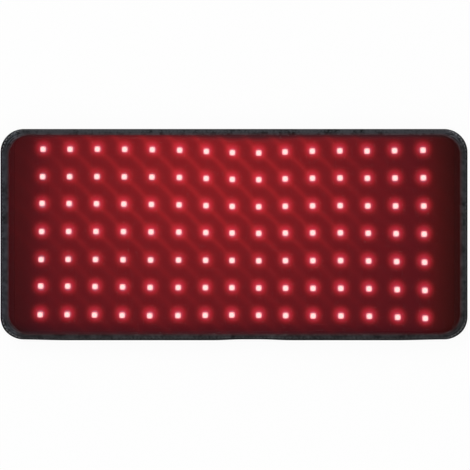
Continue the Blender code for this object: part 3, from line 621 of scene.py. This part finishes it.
def packages(x, y, size):
    """LED packages at each (x, y): rings that go from a rounded square to a circle, from foot to resin.

    A rounded square is a superellipse: cosine and sine of the turn, each to a small power.
    """
    turn = (np.arange(PACKAGE_STEPS) + 0.5) * 2 * math.pi / PACKAGE_STEPS
    half, square, height = PACKAGE_RINGS.T[:, :, None] * np.array([size, 1, 1])[:, None, None]
    power = 1 / (1 + SQUARE_POWER * square)
    ring_x = half * np.sign(np.cos(turn)) * np.abs(np.cos(turn)) ** power
    ring_y = half * np.sign(np.sin(turn)) * np.abs(np.sin(turn)) ** power
    rows = np.stack([ring_x, ring_y, height + BOARD_TOP + 0 * ring_x], -1)
    return lofted(rows[None] + np.stack([x, y, 0 * x], -1)[:, None, None])


def turned(patch, angle, x, y):
    """Turns a patch about the upright through its own middle, then moves it there."""
    points, quads, cloth = patch
    c, s = math.cos(angle), math.sin(angle)
    turn = np.array([(c, s, 0), (-s, c, 0), (0, 0, 1)])
    return points @ turn + (x, y, 0), quads, cloth


rings = np.repeat(np.arange(len(PACKAGE_RINGS) - 1), PACKAGE_STEPS)
cap = np.ones(PACKAGE_STEPS // 2 - 1, int)
package_kinds = np.concatenate([np.where(rings >= RIM_ROW, 2, 1), cap, 2 * cap])
for index in range(STRIP_COUNT):
    x, y, angle = strip_x[index], strip_y[index], strip_turn[index]
    u = columns[index] / columns[-1]
    led_y = (np.arange(LED_ROWS) - 3) * led_pitch[index] + ROW_STRAYS @ np.array([1, u, u * u])
    led_x = 0 * led_y + PACKAGE_DRIFT * u + PACKAGE_SHIFT
    board = bar(-BOARD_WIDTH / 2, BOARD_WIDTH / 2, -BOARD_LENGTH / 2, BOARD_LENGTH / 2, BOARD_Z, BOARD_TOP,
                BOARD_EDGE)
    leds = packages(led_x, led_y, 1 + PACKAGE_GROWTH_SHARE * u)
    kinds = np.concatenate([np.zeros(len(board[1]), int), np.tile(package_kinds, LED_ROWS)])
    made = piece(f"lit_strip_{index + 1:02d}", [turned(board, angle, x, y), turned(leds, angle, x, y)],
                 [board_red, package_white, resin_white], kinds)
    length = LENGTHS[np.searchsorted((-SPLIT, 0, SPLIT), x)]
    bent(made, f"led_strip_{index + 1:02d}")


# Spacer: a border of thin closed-cell foam round the LED field, stuck between sheet and film.
# It keeps the film off the LEDs and takes on the sheet's red glow. That glow is painted as emission,
# dimmed to 0.82 of the sheet's as painted shade beside the binding.
spacer_red = lit_red("spacer_foam_lit", share=0.82, grain=0.6 * MM, depth=0.1 * MM)
pad_low, pad_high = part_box("edge_binding")
LAYER_INSET = PAD_CORNER - LAYER_CORNER
LIP = {"left": 7.1 * MM, "right": 6.4 * MM, "top": 5.05 * MM, "bottom": 5.15 * MM}
SPACER_SHOWS = {"left": 5 * MM, "right": 5 * MM, "top": 2 * MM, "bottom": 2 * MM}
SPACER_CORNER = 9 * MM
# Across the border from its outer to its inner line, and how far the faces are rounded off there
SPACER_SHARES = np.array([0, 0.02, 0.3, 0.6, 0.92, 0.98, 1.0])
SPACER_DROP = np.array([0.3, 0.0, 0.0, 0.0, 0.0, 0.08, 0.35]) * MM
END_STEPS, RIM_CORNER_STEPS = 60, 41


def end_line(reach, low, high, radius, start):
    """A line round the right end of a rounded rectangle, from start on its lower edge to its upper one.

    Returns it with its corner weight: the sine of twice the turn round a corner, 0 on the straights.
    """
    straight = np.linspace(start, reach - radius, len(even(start, pad_high.x - PAD_CORNER)))
    turn = np.linspace(0, math.pi / 2, RIM_CORNER_STEPS + 1)[1:]
    side = np.linspace(low + radius, high - radius, END_STEPS)[1:-1]
    x = np.concatenate([straight, reach - radius * (1 - np.sin(turn))])
    into = np.concatenate([0 * straight, radius * (1 - np.cos(turn))])
    weight = np.concatenate([0 * straight, np.sin(2 * turn)])
    line = np.concatenate([np.stack([x, low + into], 1), np.stack([0 * side + reach, side], 1),
                           np.stack([x, high - into], 1)[::-1]])
    return line, np.concatenate([weight, 0 * side, weight[::-1]])[:, None]


def rim_lines(length, insets, radius, outer_inset=0.0):
    """Matching outer and inner lines of one length of a border: two straight lines, or one round an end.

    Returns a list of (outer, inner, corner weight).
    """
    low_outer, high_outer = pad_low.y + outer_inset, pad_high.y - outer_inset
    low_inner, high_inner = pad_low.y + insets["bottom"], pad_high.y - insets["top"]
    if length.start is not None and length.end is not None:
        x = even(length.start, length.end)
        return [(np.stack([x, 0 * x + a], 1), np.stack([x, 0 * x + b], 1), 0 * x[:, None])
                for a, b in ((low_outer, low_inner), (high_outer, high_inner))]
    side, name = (-1, "left") if length.start is None else (1, "right")
    outer, corner = end_line(pad_high.x - outer_inset, low_outer, high_outer, PAD_CORNER - outer_inset, SPLIT)
    inner, _ = end_line(pad_high.x - insets[name], low_inner, high_inner, radius, SPLIT)
    return [(outer * (side, 1), inner * (side, 1), corner)]


spacer_insets = {side: LIP[side] + SPACER_SHOWS[side] for side in LIP}
low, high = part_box("spacer_frame")
for length in LENGTHS:
    patches = []
    for outer, inner, _ in rim_lines(length, spacer_insets, SPACER_CORNER, LAYER_INSET):
        flat = outer[:, None] + (inner - outer)[:, None] * SPACER_SHARES[:, None]
        flat = np.concatenate([flat, flat[:, ::-1]], 1)
        z = np.concatenate([high.z - SPACER_DROP, low.z + SPACER_DROP[::-1]])
        patches.append(flat_lofted(flat[..., 0], flat[..., 1], z + 0 * flat[..., 0]))
    made = piece("spacer_" + length.name, patches, [spacer_red])
    bent(made, "spacer_frame")


# Window: one sheet of clear soft film over the LEDs, held round its edge in the binding.
# It is glossy, and being soft it swells very slightly between the strips.
FILM_EDGE, FILM_STEPS = 0.1 * MM, 84
SWELL, SWELL_FADE, SWELL_PHASE, FIELD_SHIFT = 0.16 * MM, 10 * MM, 0.4, 1.3 * MM
SWELL_X, SWELL_Y = 186 * MM, 78 * MM
clear_film, tree, shader = finish("clear_soft_film", (0.015, 0.006, 0.007), 0.12)
facing = Figure(tree, node(tree, "LayerWeight", {"Blend": 0.35}).outputs["Facing"])
tree.links.new((facing.step("POWER", 3.0) * 0.5 + 0.015).socket, shader.inputs["Alpha"])
bump(tree, shader, noise(tree, rest_place(tree), 26 * MM, 1), 0.4 * MM)


def swell(x, y):
    """Low waves of the film, one swelling between each two LEDs: a weighted sum of two squared sines.

    They fade out evenly near the film's edges.
    """
    across = np.sin(math.pi * x / PITCH + SWELL_PHASE) ** 2
    along = np.sin(math.pi * (y - FIELD_SHIFT) / ROW_PITCH) ** 2
    room = (np.clip((SWELL_Y - np.abs(y)) / SWELL_FADE, 0, 1)
            * np.clip((SWELL_X - np.abs(x)) / SWELL_FADE, 0, 1))
    return SWELL * (0.6 * across + 0.4 * along) * room


cut_sheets("film", "window_film", "clear_film", clear_film, FILM_EDGE, "stretched",
           across=FILM_STEPS, wave=swell)


# Binding: charcoal woven tape folded over the pad's edge all round, eased round the corners in
# small gathers, and sewn through near its outer edge with thread, painted paler at the corners as a
# highlight.
TAPE = 0.8 * MM
LIP_CORNER, LIP_BOW = 18.2 * MM, 0.5 * MM
# Outer face of the folded tape from the lip on the lit face to the lip on the back: share of the
# lip's width measured from the outer edge, distance added to it, height
TAPE_PROFILE = np.array([
    (1, 0.15, 14.72), (1, 0.28, 14.95), (1, 0.12, 15.24), (1, -0.40, 15.44), (1, -1.20, 15.56),
    (0.66, 0, 15.60), (0.57, 0, 15.59), (0, 2.36, 15.54), (0, 2.0, 15.30), (0, 1.64, 15.46),
    (0, 0.90, 15.26), (0, 0.36, 14.70), (0, 0.08, 13.80), (0, 0.0, 12.40), (0, 0.0, 9.80), (0, 0.0, 7.20),
    (0, 0.10, 5.80), (0, 0.34, 4.90), (0, 0.80, 4.30), (0, 1.64, 4.10), (0, 2.0, 4.28), (0, 2.36, 4.04),
    (0.57, 0, 4.0), (0.74, 0, 4.02), (1, -0.7, 4.08), (1, -0.1, 4.3), (1, 0.05, 4.62),
]) * (1, MM, MM)
TAPE_MIDDLE_Z = 9.8 * MM
GATHER, GATHER_PITCH, GATHER_FULLNESS = 0.05 * MM, 2.1 * MM, 0.7
PLEAT, PLEAT_PITCH = 0.14 * MM, 1.75 * MM
# The pad's lower edge: where it swells, from and to its full swelling, and how far
BELLY_SPANS_MM = ((-185, -143, -18, 8), (22, 50, 140, 182))
BELLY, BELLY_DRAW = 0.74 * MM, 0.54 * MM
BELLY_Y, BELLY_EASE = -80 * MM, 10 * MM
# Stitches, and the groove that they lie in on each face
STITCH_GROOVE, STITCH_PITCH, STITCH_LENGTH, THREAD_RADIUS = 2.0 * MM, 3.1 * MM, 2.2 * MM, 0.22 * MM
STITCH_LEVELS = ((15.30 * MM, 1.0), (4.26 * MM, -1.0))
MOUTH_HOLE, MOUTH_Z, DRILL_LENGTH = 2.85 * MM, 7.95 * MM, 8 * MM
# Painted red light from the panel near the tape's lip: its reach, its share of the glow, and its least
SPILL_REACH, SPILL_SHARE, SPILL_LEAST = 1.1 * MM, 0.12, 0.024
RIB_PITCH, THREAD_PITCH = 0.62 * MM, 0.45 * MM
# Where the tape's finish changes, with its painted shade and light: distance in from the outline, height, and
# place along or across the pad
EDGE_SHADE_SPAN, DITCH_PLACE, DITCH_WIDTH, DITCH_SHADE = (1.2 * MM, 1.75 * MM), 2.8 * MM, 0.5 * MM, 0.18
WALL_SPAN, TOP_SPAN = (13.7 * MM, 14.5 * MM), (72 * MM, 86 * MM)
LEFT_SPAN, RIGHT_SPAN = (-194 * MM, -180 * MM), (184 * MM, 194 * MM)
CORNER_SPAN_X, CORNER_SPAN_Y = (179 * MM, 188 * MM), (69 * MM, 78 * MM)


def smooth_line(points, steps):
    """A curve through the points: between each two, a cubic whose slopes are set by their neighbours."""
    before = np.concatenate([points[:1], points[:-1]])[:-1, None]
    after = np.concatenate([points[1:], points[-1:]])[1:, None]
    a, b = points[:-1, None], points[1:, None]
    t = np.arange(steps)[None, :, None] / steps
    curve = 0.5 * (2 * a + (b - before) * t + (2 * before - 5 * a + 4 * b - after) * t ** 2
                   + (3 * a - before - 3 * b + after) * t ** 3)
    return np.concatenate([curve.reshape(-1, points.shape[1]), points[-1:]])


def unit(vectors):
    """The vectors, each made one long."""
    return vectors / np.linalg.norm(vectors, axis=-1, keepdims=True)


def run_so_far(line):
    """The length of a line up to each of its points."""
    return np.concatenate([[0], np.cumsum(np.linalg.norm(np.diff(line, axis=0), axis=1))])


def bellied(line):
    """Lets the pad's lower edge swell a little in two spans and draw in at its middle and ends.

    The move is along y, by how far a point lies in the edge's own strip, times eased steps in x. An
    eased step is three squares less two cubes of a share.
    """
    def eased_share(value):
        share = np.clip(value, 0, 1)
        return share ** 2 * (3 - 2 * share)

    x, y = line[:, 0] / MM, line[:, 1]
    swelling = 0 * x
    for start, full, leave, end in BELLY_SPANS_MM:
        rise, fall = (x - start) / (full - start), (end - x) / (end - leave)
        swelling += np.minimum(eased_share(rise), eased_share(fall))
    in_strip = eased_share((BELLY_Y - y) / BELLY_EASE)
    return line - np.stack([0 * x, (swelling * BELLY - BELLY_DRAW) * in_strip], 1)


def tape_loops(outer, inner, corner):
    """The folded tape along a border: outer face by the profile, inner face one tape thickness inside it.

    Round the corners it has gathers, a sine along the outer line, and pleats, a sine across the lip.
    Both fade out of the corners and to both edges of the lip.
    """
    gap = inner - outer
    width = np.linalg.norm(gap, axis=1, keepdims=True)
    along = run_so_far(outer)
    share, offset, height = smooth_line(TAPE_PROFILE, steps=3).T
    reach = share * width + offset
    face = np.stack([reach, height + 0 * reach], -1)
    slope = unit(np.gradient(face, axis=1))
    middle = np.sin(math.pi * np.clip(reach / width, 0, 1)) ** GATHER_FULLNESS
    upper = np.where(height > TAPE_MIDDLE_Z, 1.0, -1.0)
    ripple = (GATHER * np.sin(2 * math.pi * along / GATHER_PITCH)[:, None]
              + PLEAT * np.cos(2 * math.pi * (reach - STITCH_GROOVE) / PLEAT_PITCH + math.pi))
    ripple = ripple * corner * middle * upper
    lining = face + TAPE * np.stack([-slope[..., 1], slope[..., 0]], -1)
    face = face + np.stack([0 * ripple, ripple], -1)
    section = np.concatenate([face, lining[:, ::-1]], 1)
    flat = outer[:, None] + (gap / width)[:, None] * section[..., :1]
    around = run_so_far(section[0])
    around = np.append(around, around[-1] + TAPE)
    cloth = np.stack(np.broadcast_arrays(along[:, None], around[None]), -1)
    return np.concatenate([flat, section[..., 1:]], -1), cloth


def cloth_place(tree):
    """Place along and across a tape or band, from its cloth map."""
    return parts(tree, node(tree, "UVMap", uv_map="cloth").outputs["UV"])[:2]


def corner_share(tree, place):
    """1 at the pad's corners, 0 along its sides: the product of two eased ramps in the sizes of x and y."""
    x, y, _ = parts(tree, node(tree, "VectorMath", {0: place}, operation="ABSOLUTE").outputs[0])
    return x.eased(*CORNER_SPAN_X, 0.0, 1.0) * y.eased(*CORNER_SPAN_Y, 0.0, 1.0)


# The tape's colour carries painted shade along its outer edge (less on the lit top side, none down its
# side wall, where its mottle is also weaker), in the groove of the stitches, in the pleats at the corners
# and towards its lip. It is painted lighter along the top, where the light falls. It is paler and more
# mottled at the corners, cooler grey on the left and along the top, and worn in patches. Painted red
# light from the panel is given off near its lip.
tape_cloth, tree, shader = finish("charcoal_woven_tape", (0.03, 0.03, 0.033), 0.9,
                                  Specular_IOR_Level=0.12, Emission_Strength=1.0)
along_tape, over_tape = cloth_place(tree)
weave = along_tape.ribs(RIB_PITCH) * 0.65 + over_tape.ribs(THREAD_PITCH) * 0.35
place = rest_place(tree)
worn = noise(tree, place, 12 * MM, 3) * 2.1 + noise(tree, place, 3.4 * MM, 2) * 2.5 - 2.3
x, y, z = parts(tree, place)
_, _, inward = field_place(tree)
wander = inward + (noise(tree, place, 17 * MM, 2) - 0.5) * (1.1 * MM)
left_share = x.eased(*LEFT_SPAN, 1.0, 0.0)
wander = wander - x.eased(*RIGHT_SPAN, 0.0, 0.4 * MM) - left_share * (0.35 * MM)
at_corner = corner_share(tree, place)
top_share = y.eased(*TOP_SPAN, 0.0, 1.0)
# Painted shade along the tape's outer edge
edge_shade = wander.eased(*EDGE_SHADE_SPAN, 0.0, 1.0)
# Painted shade in the groove of the stitches
groove_shade = (wander - DITCH_PLACE) * (1 / DITCH_WIDTH)
groove_shade = (groove_shade * groove_shade * -1.0).step("EXPONENT") * -DITCH_SHADE + 1.0
# Less of the painted edge shade on the top side, where the light falls, and none on the side wall
edge_shade = edge_shade + (edge_shade * -1.0 + 1.0) * (top_share * 0.75 + 0.1)
wall = z.eased(*WALL_SPAN, 1.0, 0.0)
edge_shade = edge_shade.step("MAXIMUM", wall)
# Painted shade towards the lip, where the tape turns down to the film
shaded = over_tape.eased(0.5 * MM, 3.6 * MM, 0.6, 1.0)
# Painted shade in the pleats at the corners, broken up by noise
pleat_shade_breakup = noise(tree, place, 1.1 * MM, 1) * 2.0 - 0.2
pleats = ((inward - STITCH_GROOVE) * (2 * math.pi / PLEAT_PITCH)).step("COSINE") * pleat_shade_breakup * at_corner
lumps = (noise(tree, place, 1.5 * MM, 2) - 0.5) * 0.9
lumps = lumps + (noise(tree, place, 2.3 * MM, 1) - 0.5) * at_corner * 4.5
fibre = weave * 0.3 + (worn + lumps - pleats) * (wall * -0.7 + 1.0) + at_corner * 0.08 + 0.64
# The top side is painted lighter, where the key light falls
level = fibre * edge_shade * groove_shade * shaded * (top_share * 0.5 + 0.76)
level = level.step("MINIMUM", at_corner * 0.8 + 1.0).step("MAXIMUM", 0.0)
cool = left_share + top_share * 0.6
pale_fibre = node(tree, "Mix", {0: cool, 6: (0.0445, 0.044, 0.0465, 1), 7: (0.043, 0.0445, 0.053, 1)},
                  data_type="RGBA")
dyed = node(tree, "Mix", {0: level, 6: (0.005, 0.005, 0.0056, 1), 7: pale_fibre.outputs[2]},
            data_type="RGBA", clamp_factor=False)
tree.links.new(dyed.outputs[2], shader.inputs["Base Color"])
bump(tree, shader, weave + lumps, 0.12 * MM)
# Painted red light from the panel, given off near the lip
spill_light = (over_tape * (-1 / SPILL_REACH)).step("EXPONENT") * panel_glow(tree)[0] * SPILL_SHARE
spill_light = spill_light + over_tape.eased(0.4 * MM, 3.0 * MM, SPILL_LEAST, 0.0)
spilt = node(tree, "CombineColor", {k: spill_light * tint for k, tint in enumerate(GLOW_TINT)})
tree.links.new(spilt.outputs[0], shader.inputs["Emission Color"])

thread_grey, tree, shader = finish("sewing_thread", (0.07, 0.07, 0.074), 0.7)
place = rest_place(tree)
# The thread is painted paler towards the pad's corners, as a highlight
dye(tree, shader, noise(tree, place, 0.4 * MM) * 0.12 + corner_share(tree, place) * 0.58,
    (0.035, 0.035, 0.037), (0.42, 0.42, 0.43))


def stitches(line, pitch, stitch, up):
    """Short threads along a line: rings of six points that swell in the middle and sink at the tips.

    Each is centred between two of the points that lie half a pitch apart along the line.
    """
    along = run_so_far(line)
    at = np.arange(0.25 * pitch, along[-1], pitch / 2)
    cuts = np.stack([np.interp(at, along, line[:, k]) for k in range(3)], 1)
    pairs = cuts[: len(cuts) // 2 * 2].reshape(-1, 2, 3)
    run = unit(np.diff(pairs, axis=1)[:, 0])
    share = np.array([0.0, 0.08, 0.3, 0.7, 0.92, 1.0])
    swollen = np.array([0.35, 0.8, 1.0, 1.0, 0.8, 0.35]) * THREAD_RADIUS
    sunk = np.array([-0.22, -0.06, 0.0, 0.0, -0.06, -0.22]) * MM
    up = np.broadcast_to((0, 0, up), run.shape)
    across = np.cross(run, up)
    turn = np.arange(6) * math.pi / 3 + math.pi / 6
    middle = (pairs.mean(1)[:, None] + run[:, None] * ((share - 0.5) * stitch)[:, None]
              + up[:, None] * sunk[:, None])
    ring = across[:, None, None] * np.cos(turn)[:, None] + up[:, None, None] * np.sin(turn)[:, None]
    return lofted(middle[:, :, None] + ring * swollen[:, None, None])


def drilled(made, radius, centre):
    """Cuts a round hole along x through the piece's wall, and keeps the mesh that is left."""
    hole = bmesh.new()
    bmesh.ops.create_cone(hole, cap_ends=True, segments=48, radius1=radius, radius2=radius,
                          depth=DRILL_LENGTH)
    drill_mesh = bpy.data.meshes.new("mouth_drill")
    hole.to_mesh(drill_mesh)
    hole.free()
    drill = placed("mouth_drill", drill_mesh)
    drill.rotation_euler = (0, math.pi / 2, 0)
    drill.location = centre
    cut = made.modifiers.new("mouth", "BOOLEAN")
    cut.operation, cut.object, cut.solver = "DIFFERENCE", drill, "EXACT"
    bpy.context.view_layer.update()
    evaluated = made.evaluated_get(bpy.context.evaluated_depsgraph_get())
    left_over = bpy.data.meshes.new_from_object(evaluated)
    made.modifiers.clear()
    made.data = left_over
    bpy.data.objects.remove(drill)


for length in LENGTHS:
    patches, seams, tape_length = [], [], 0
    for outer, inner, corner in rim_lines(length, LIP, LIP_CORNER):
        outer = bellied(outer)
        inner[:, 1] += LIP_BOW * (inner[:, 0] / pad_high.x) ** 2 * np.clip(-inner[:, 1] / pad_high.y, 0, 1)
        loops, cloth = tape_loops(outer, inner, corner)
        patches.append(lofted(loops, cloth))
        tape_length += cloth[-1, 0, 0]
        line = outer + unit(inner - outer) * STITCH_GROOVE
        for height, up in STITCH_LEVELS:
            seam = np.concatenate([line, np.full((len(line), 1), height)], 1)
            seams.append(stitches(seam, STITCH_PITCH, STITCH_LENGTH, up))
    made = piece("binding_" + length.name, patches, [tape_cloth])
    if length.name == "right_end":
        drilled(made, MOUTH_HOLE, (pad_high.x, 0, MOUTH_Z))
    bent(made, "edge_binding")
    sewn = piece("binding_stitches_" + length.name, seams, [thread_grey])
    bent(sewn, "edge_binding")


# Strap keepers: two loops of flat webbing across the back, their feet sewn to the back cover.
# The strap's ends turn back round them.
KEEPER_TAPE, WEBBING_RIB = 1.2 * MM, 1.1 * MM
# The webbing's middle line, from the outer end of its foot down to the level run of its span
FOOT_STEPS, SPAN_PLACES = np.array([0, 4, 9, 10.4, 11.8, 14]) * MM, np.array([16, 8]) * MM
FOOT_LEVEL_SHARES = np.array([1, 1, 1, 0.5, 0, 0, 0, 0])
BOX_SIDE, BOX_NEAR, BOX_FAR = 2.2 * MM, 8.4 * MM, 1.6 * MM
BOX_PITCH, BOX_STITCH, BOX_LIFT = 2.7 * MM, 2.16 * MM, 0.05 * MM
# Corners of a box stitch with its cross, in the order sewn: which side in x, which end in y
BOX_ORDER = ((0, 0), (1, 0), (1, 1), (0, 1), (0, 0), (1, 1), (1, 0), (0, 1))
webbing, tree, shader = finish("flat_webbing", (0.02, 0.02, 0.021), 0.8, Sheen_Weight=0.2)
along, over = cloth_place(tree)
warp = over.ribs(WEBBING_RIB)
zigzag = (over * (1 / WEBBING_RIB)).step("PINGPONG", 1.0) * WEBBING_RIB
weave = warp * 0.5 + (along + zigzag).ribs(WEBBING_RIB) * 0.5
dye(tree, shader, weave * 0.7 + noise(tree, rest_place(tree), 7 * MM, 3) * 0.3, (0.01, 0.01, 0.011),
    (0.05, 0.05, 0.054))
bump(tree, shader, weave, 0.2 * MM)


def band(line, sideways, half_width, thickness, across=24):
    """A flat band carried along a line: rounded flat loops square to it, with its width along `sideways`."""
    sideways = np.array(sideways, float)
    face = np.cross(unit(np.gradient(line, axis=0)), sideways)
    shares = np.linspace(-1, 1, across)[1:-1]
    wide, lift = flat_loop(half_width, thickness / 2, thickness / 2, steps=4, shares=shares)
    loops = line[:, None] + sideways * wide[:, None] + face[:, None] * lift[:, None]
    cloth = np.stack(np.broadcast_arrays(run_so_far(line)[:, None], np.append(wide, wide[0])[None]), -1)
    return lofted(loops, cloth)


for name in ("left", "right"):
    low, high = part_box("strap_keeper_" + name)
    middle_x, half_width = (low.x + high.x) / 2, (high.x - low.x) / 2
    foot_z, span_z = high.z - KEEPER_TAPE / 2, low.z + KEEPER_TAPE / 2
    key_y = np.concatenate([high.y - FOOT_STEPS, SPAN_PLACES])
    key_z = span_z + (foot_z - span_z) * FOOT_LEVEL_SHARES
    half_line = np.stack([0 * key_y + middle_x, key_y, key_z], 1)
    line = smooth_line(np.concatenate([half_line, (half_line * (1, -1, 1))[::-1]]), steps=6)
    made = piece("keeper_" + name, [band(line, (1, 0, 0), half_width, KEEPER_TAPE)], [webbing])
    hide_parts("strap_keeper_" + name)
    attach(made, name + "_outer")
    box_x = middle_x + np.array([-1, 1]) * (half_width - BOX_SIDE)
    box_z = high.z - KEEPER_TAPE - BOX_LIFT
    seams = []
    for end in (-1, 1):
        box_y = end * np.array([high.y - BOX_NEAR, high.y - BOX_FAR])
        corners = np.array([(box_x[i], box_y[j], box_z) for i, j in BOX_ORDER])
        for a, b in zip(corners[:-1], corners[1:]):
            seams.append(stitches(np.array([a, b]), BOX_PITCH, BOX_STITCH, -1.0))
    sewn = piece("keeper_stitches_" + name, seams, [thread_grey])
    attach(sewn, name + "_outer")


# Elastic strap: one wide knitted band, stowed flat behind the pad. Its ends turn back round the
# keepers and lie on the band, held by hook tape.
STRAP_TAPE, STRAP_STEPS, TURN_STEPS = 1.5 * MM, 40, 25
RETURN_END = 53 * MM
KNIT, COURSE = 1.3 * MM, 0.8 * MM
elastic, tree, shader = finish("knitted_elastic", (0.018, 0.018, 0.019), 0.9, Sheen_Weight=0.3,
                               Sheen_Roughness=0.4)
along, over = cloth_place(tree)
cords = (over * (math.pi / KNIT)).step("SINE").step("ABSOLUTE").step("POWER", 0.6)
looped = along * (2 * math.pi / COURSE) + (over * (2 * math.pi / KNIT)).step("COSINE") * 1.2
knit = cords * 0.7 + (looped.step("SINE") * 0.5 + 0.5) * 0.3
dye(tree, shader, knit * 0.75 + noise(tree, rest_place(tree), 11 * MM, 3) * 0.3, (0.007, 0.007, 0.008),
    (0.04, 0.04, 0.043))
bump(tree, shader, knit, 0.28 * MM)

strap_low, strap_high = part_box("elastic_strap")
inner_z, outer_z = strap_high.z - STRAP_TAPE / 2, strap_low.z + STRAP_TAPE / 2
turn_radius = (inner_z - outer_z) / 2
turn_x = strap_high.x - turn_radius - STRAP_TAPE / 2


def level_line(x_start, x_end, z):
    """Points along x at one height."""
    x = even(x_start, x_end)
    return np.stack([x, 0 * x, 0 * x + z], 1)


turn = np.linspace(0, math.pi, TURN_STEPS)[1:-1]
half_turn = np.stack([turn_x + turn_radius * np.sin(turn), 0 * turn,
                      (inner_z + outer_z) / 2 + turn_radius * np.cos(turn)], 1)
end_run = np.concatenate([level_line(SPLIT, turn_x, inner_z), half_turn, level_line(turn_x, SPLIT, outer_z)])
for length in LENGTHS:
    side = math.copysign(1, length.fold_x)
    if length.start is None or length.end is None:
        lines = [end_run * (side, 1, 1)]
    else:
        lines = [level_line(length.start, length.end, inner_z),
                 level_line(side * SPLIT, side * RETURN_END, outer_z)]
    bands = [band(line, (0, 1, 0), strap_high.y, STRAP_TAPE, STRAP_STEPS) for line in lines]
    made = piece("strap_" + length.name, bands, [elastic])
    bent(made, "elastic_strap")


# Hook tape: a pad of stiff little hooks on each end of the strap, caught in the band's knit.
# It is a woven base with rows of hooks on the side that meets the band.
HOOK_EDGE = 0.3 * MM
hook_tape, tree, shader = finish("hook_tape", (0.012, 0.012, 0.013), 0.55)
hooks = cells(tree, rest_place(tree), 1.1 * MM)
dye(tree, shader, hooks, (0.03, 0.03, 0.032), (0.008, 0.008, 0.008))
bump(tree, shader, hooks * -1.0, 0.3 * MM)
for name, part, length in (("left", "end", LENGTHS[0]), ("left", "inner", LENGTHS[1]),
                           ("right", "end", LENGTHS[3]), ("right", "inner", LENGTHS[2])):
    low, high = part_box("hook_tab_" + name)
    x_low = low.x if length.start is None else max(low.x, length.start)
    x_high = high.x if length.end is None else min(high.x, length.end)
    made = piece(f"hook_tape_{name}_{part}", [bar(x_low, x_high, low.y, high.y, low.z, high.z, HOOK_EDGE)],
                 [hook_tape])
    bent(made, "hook_tab_" + name)
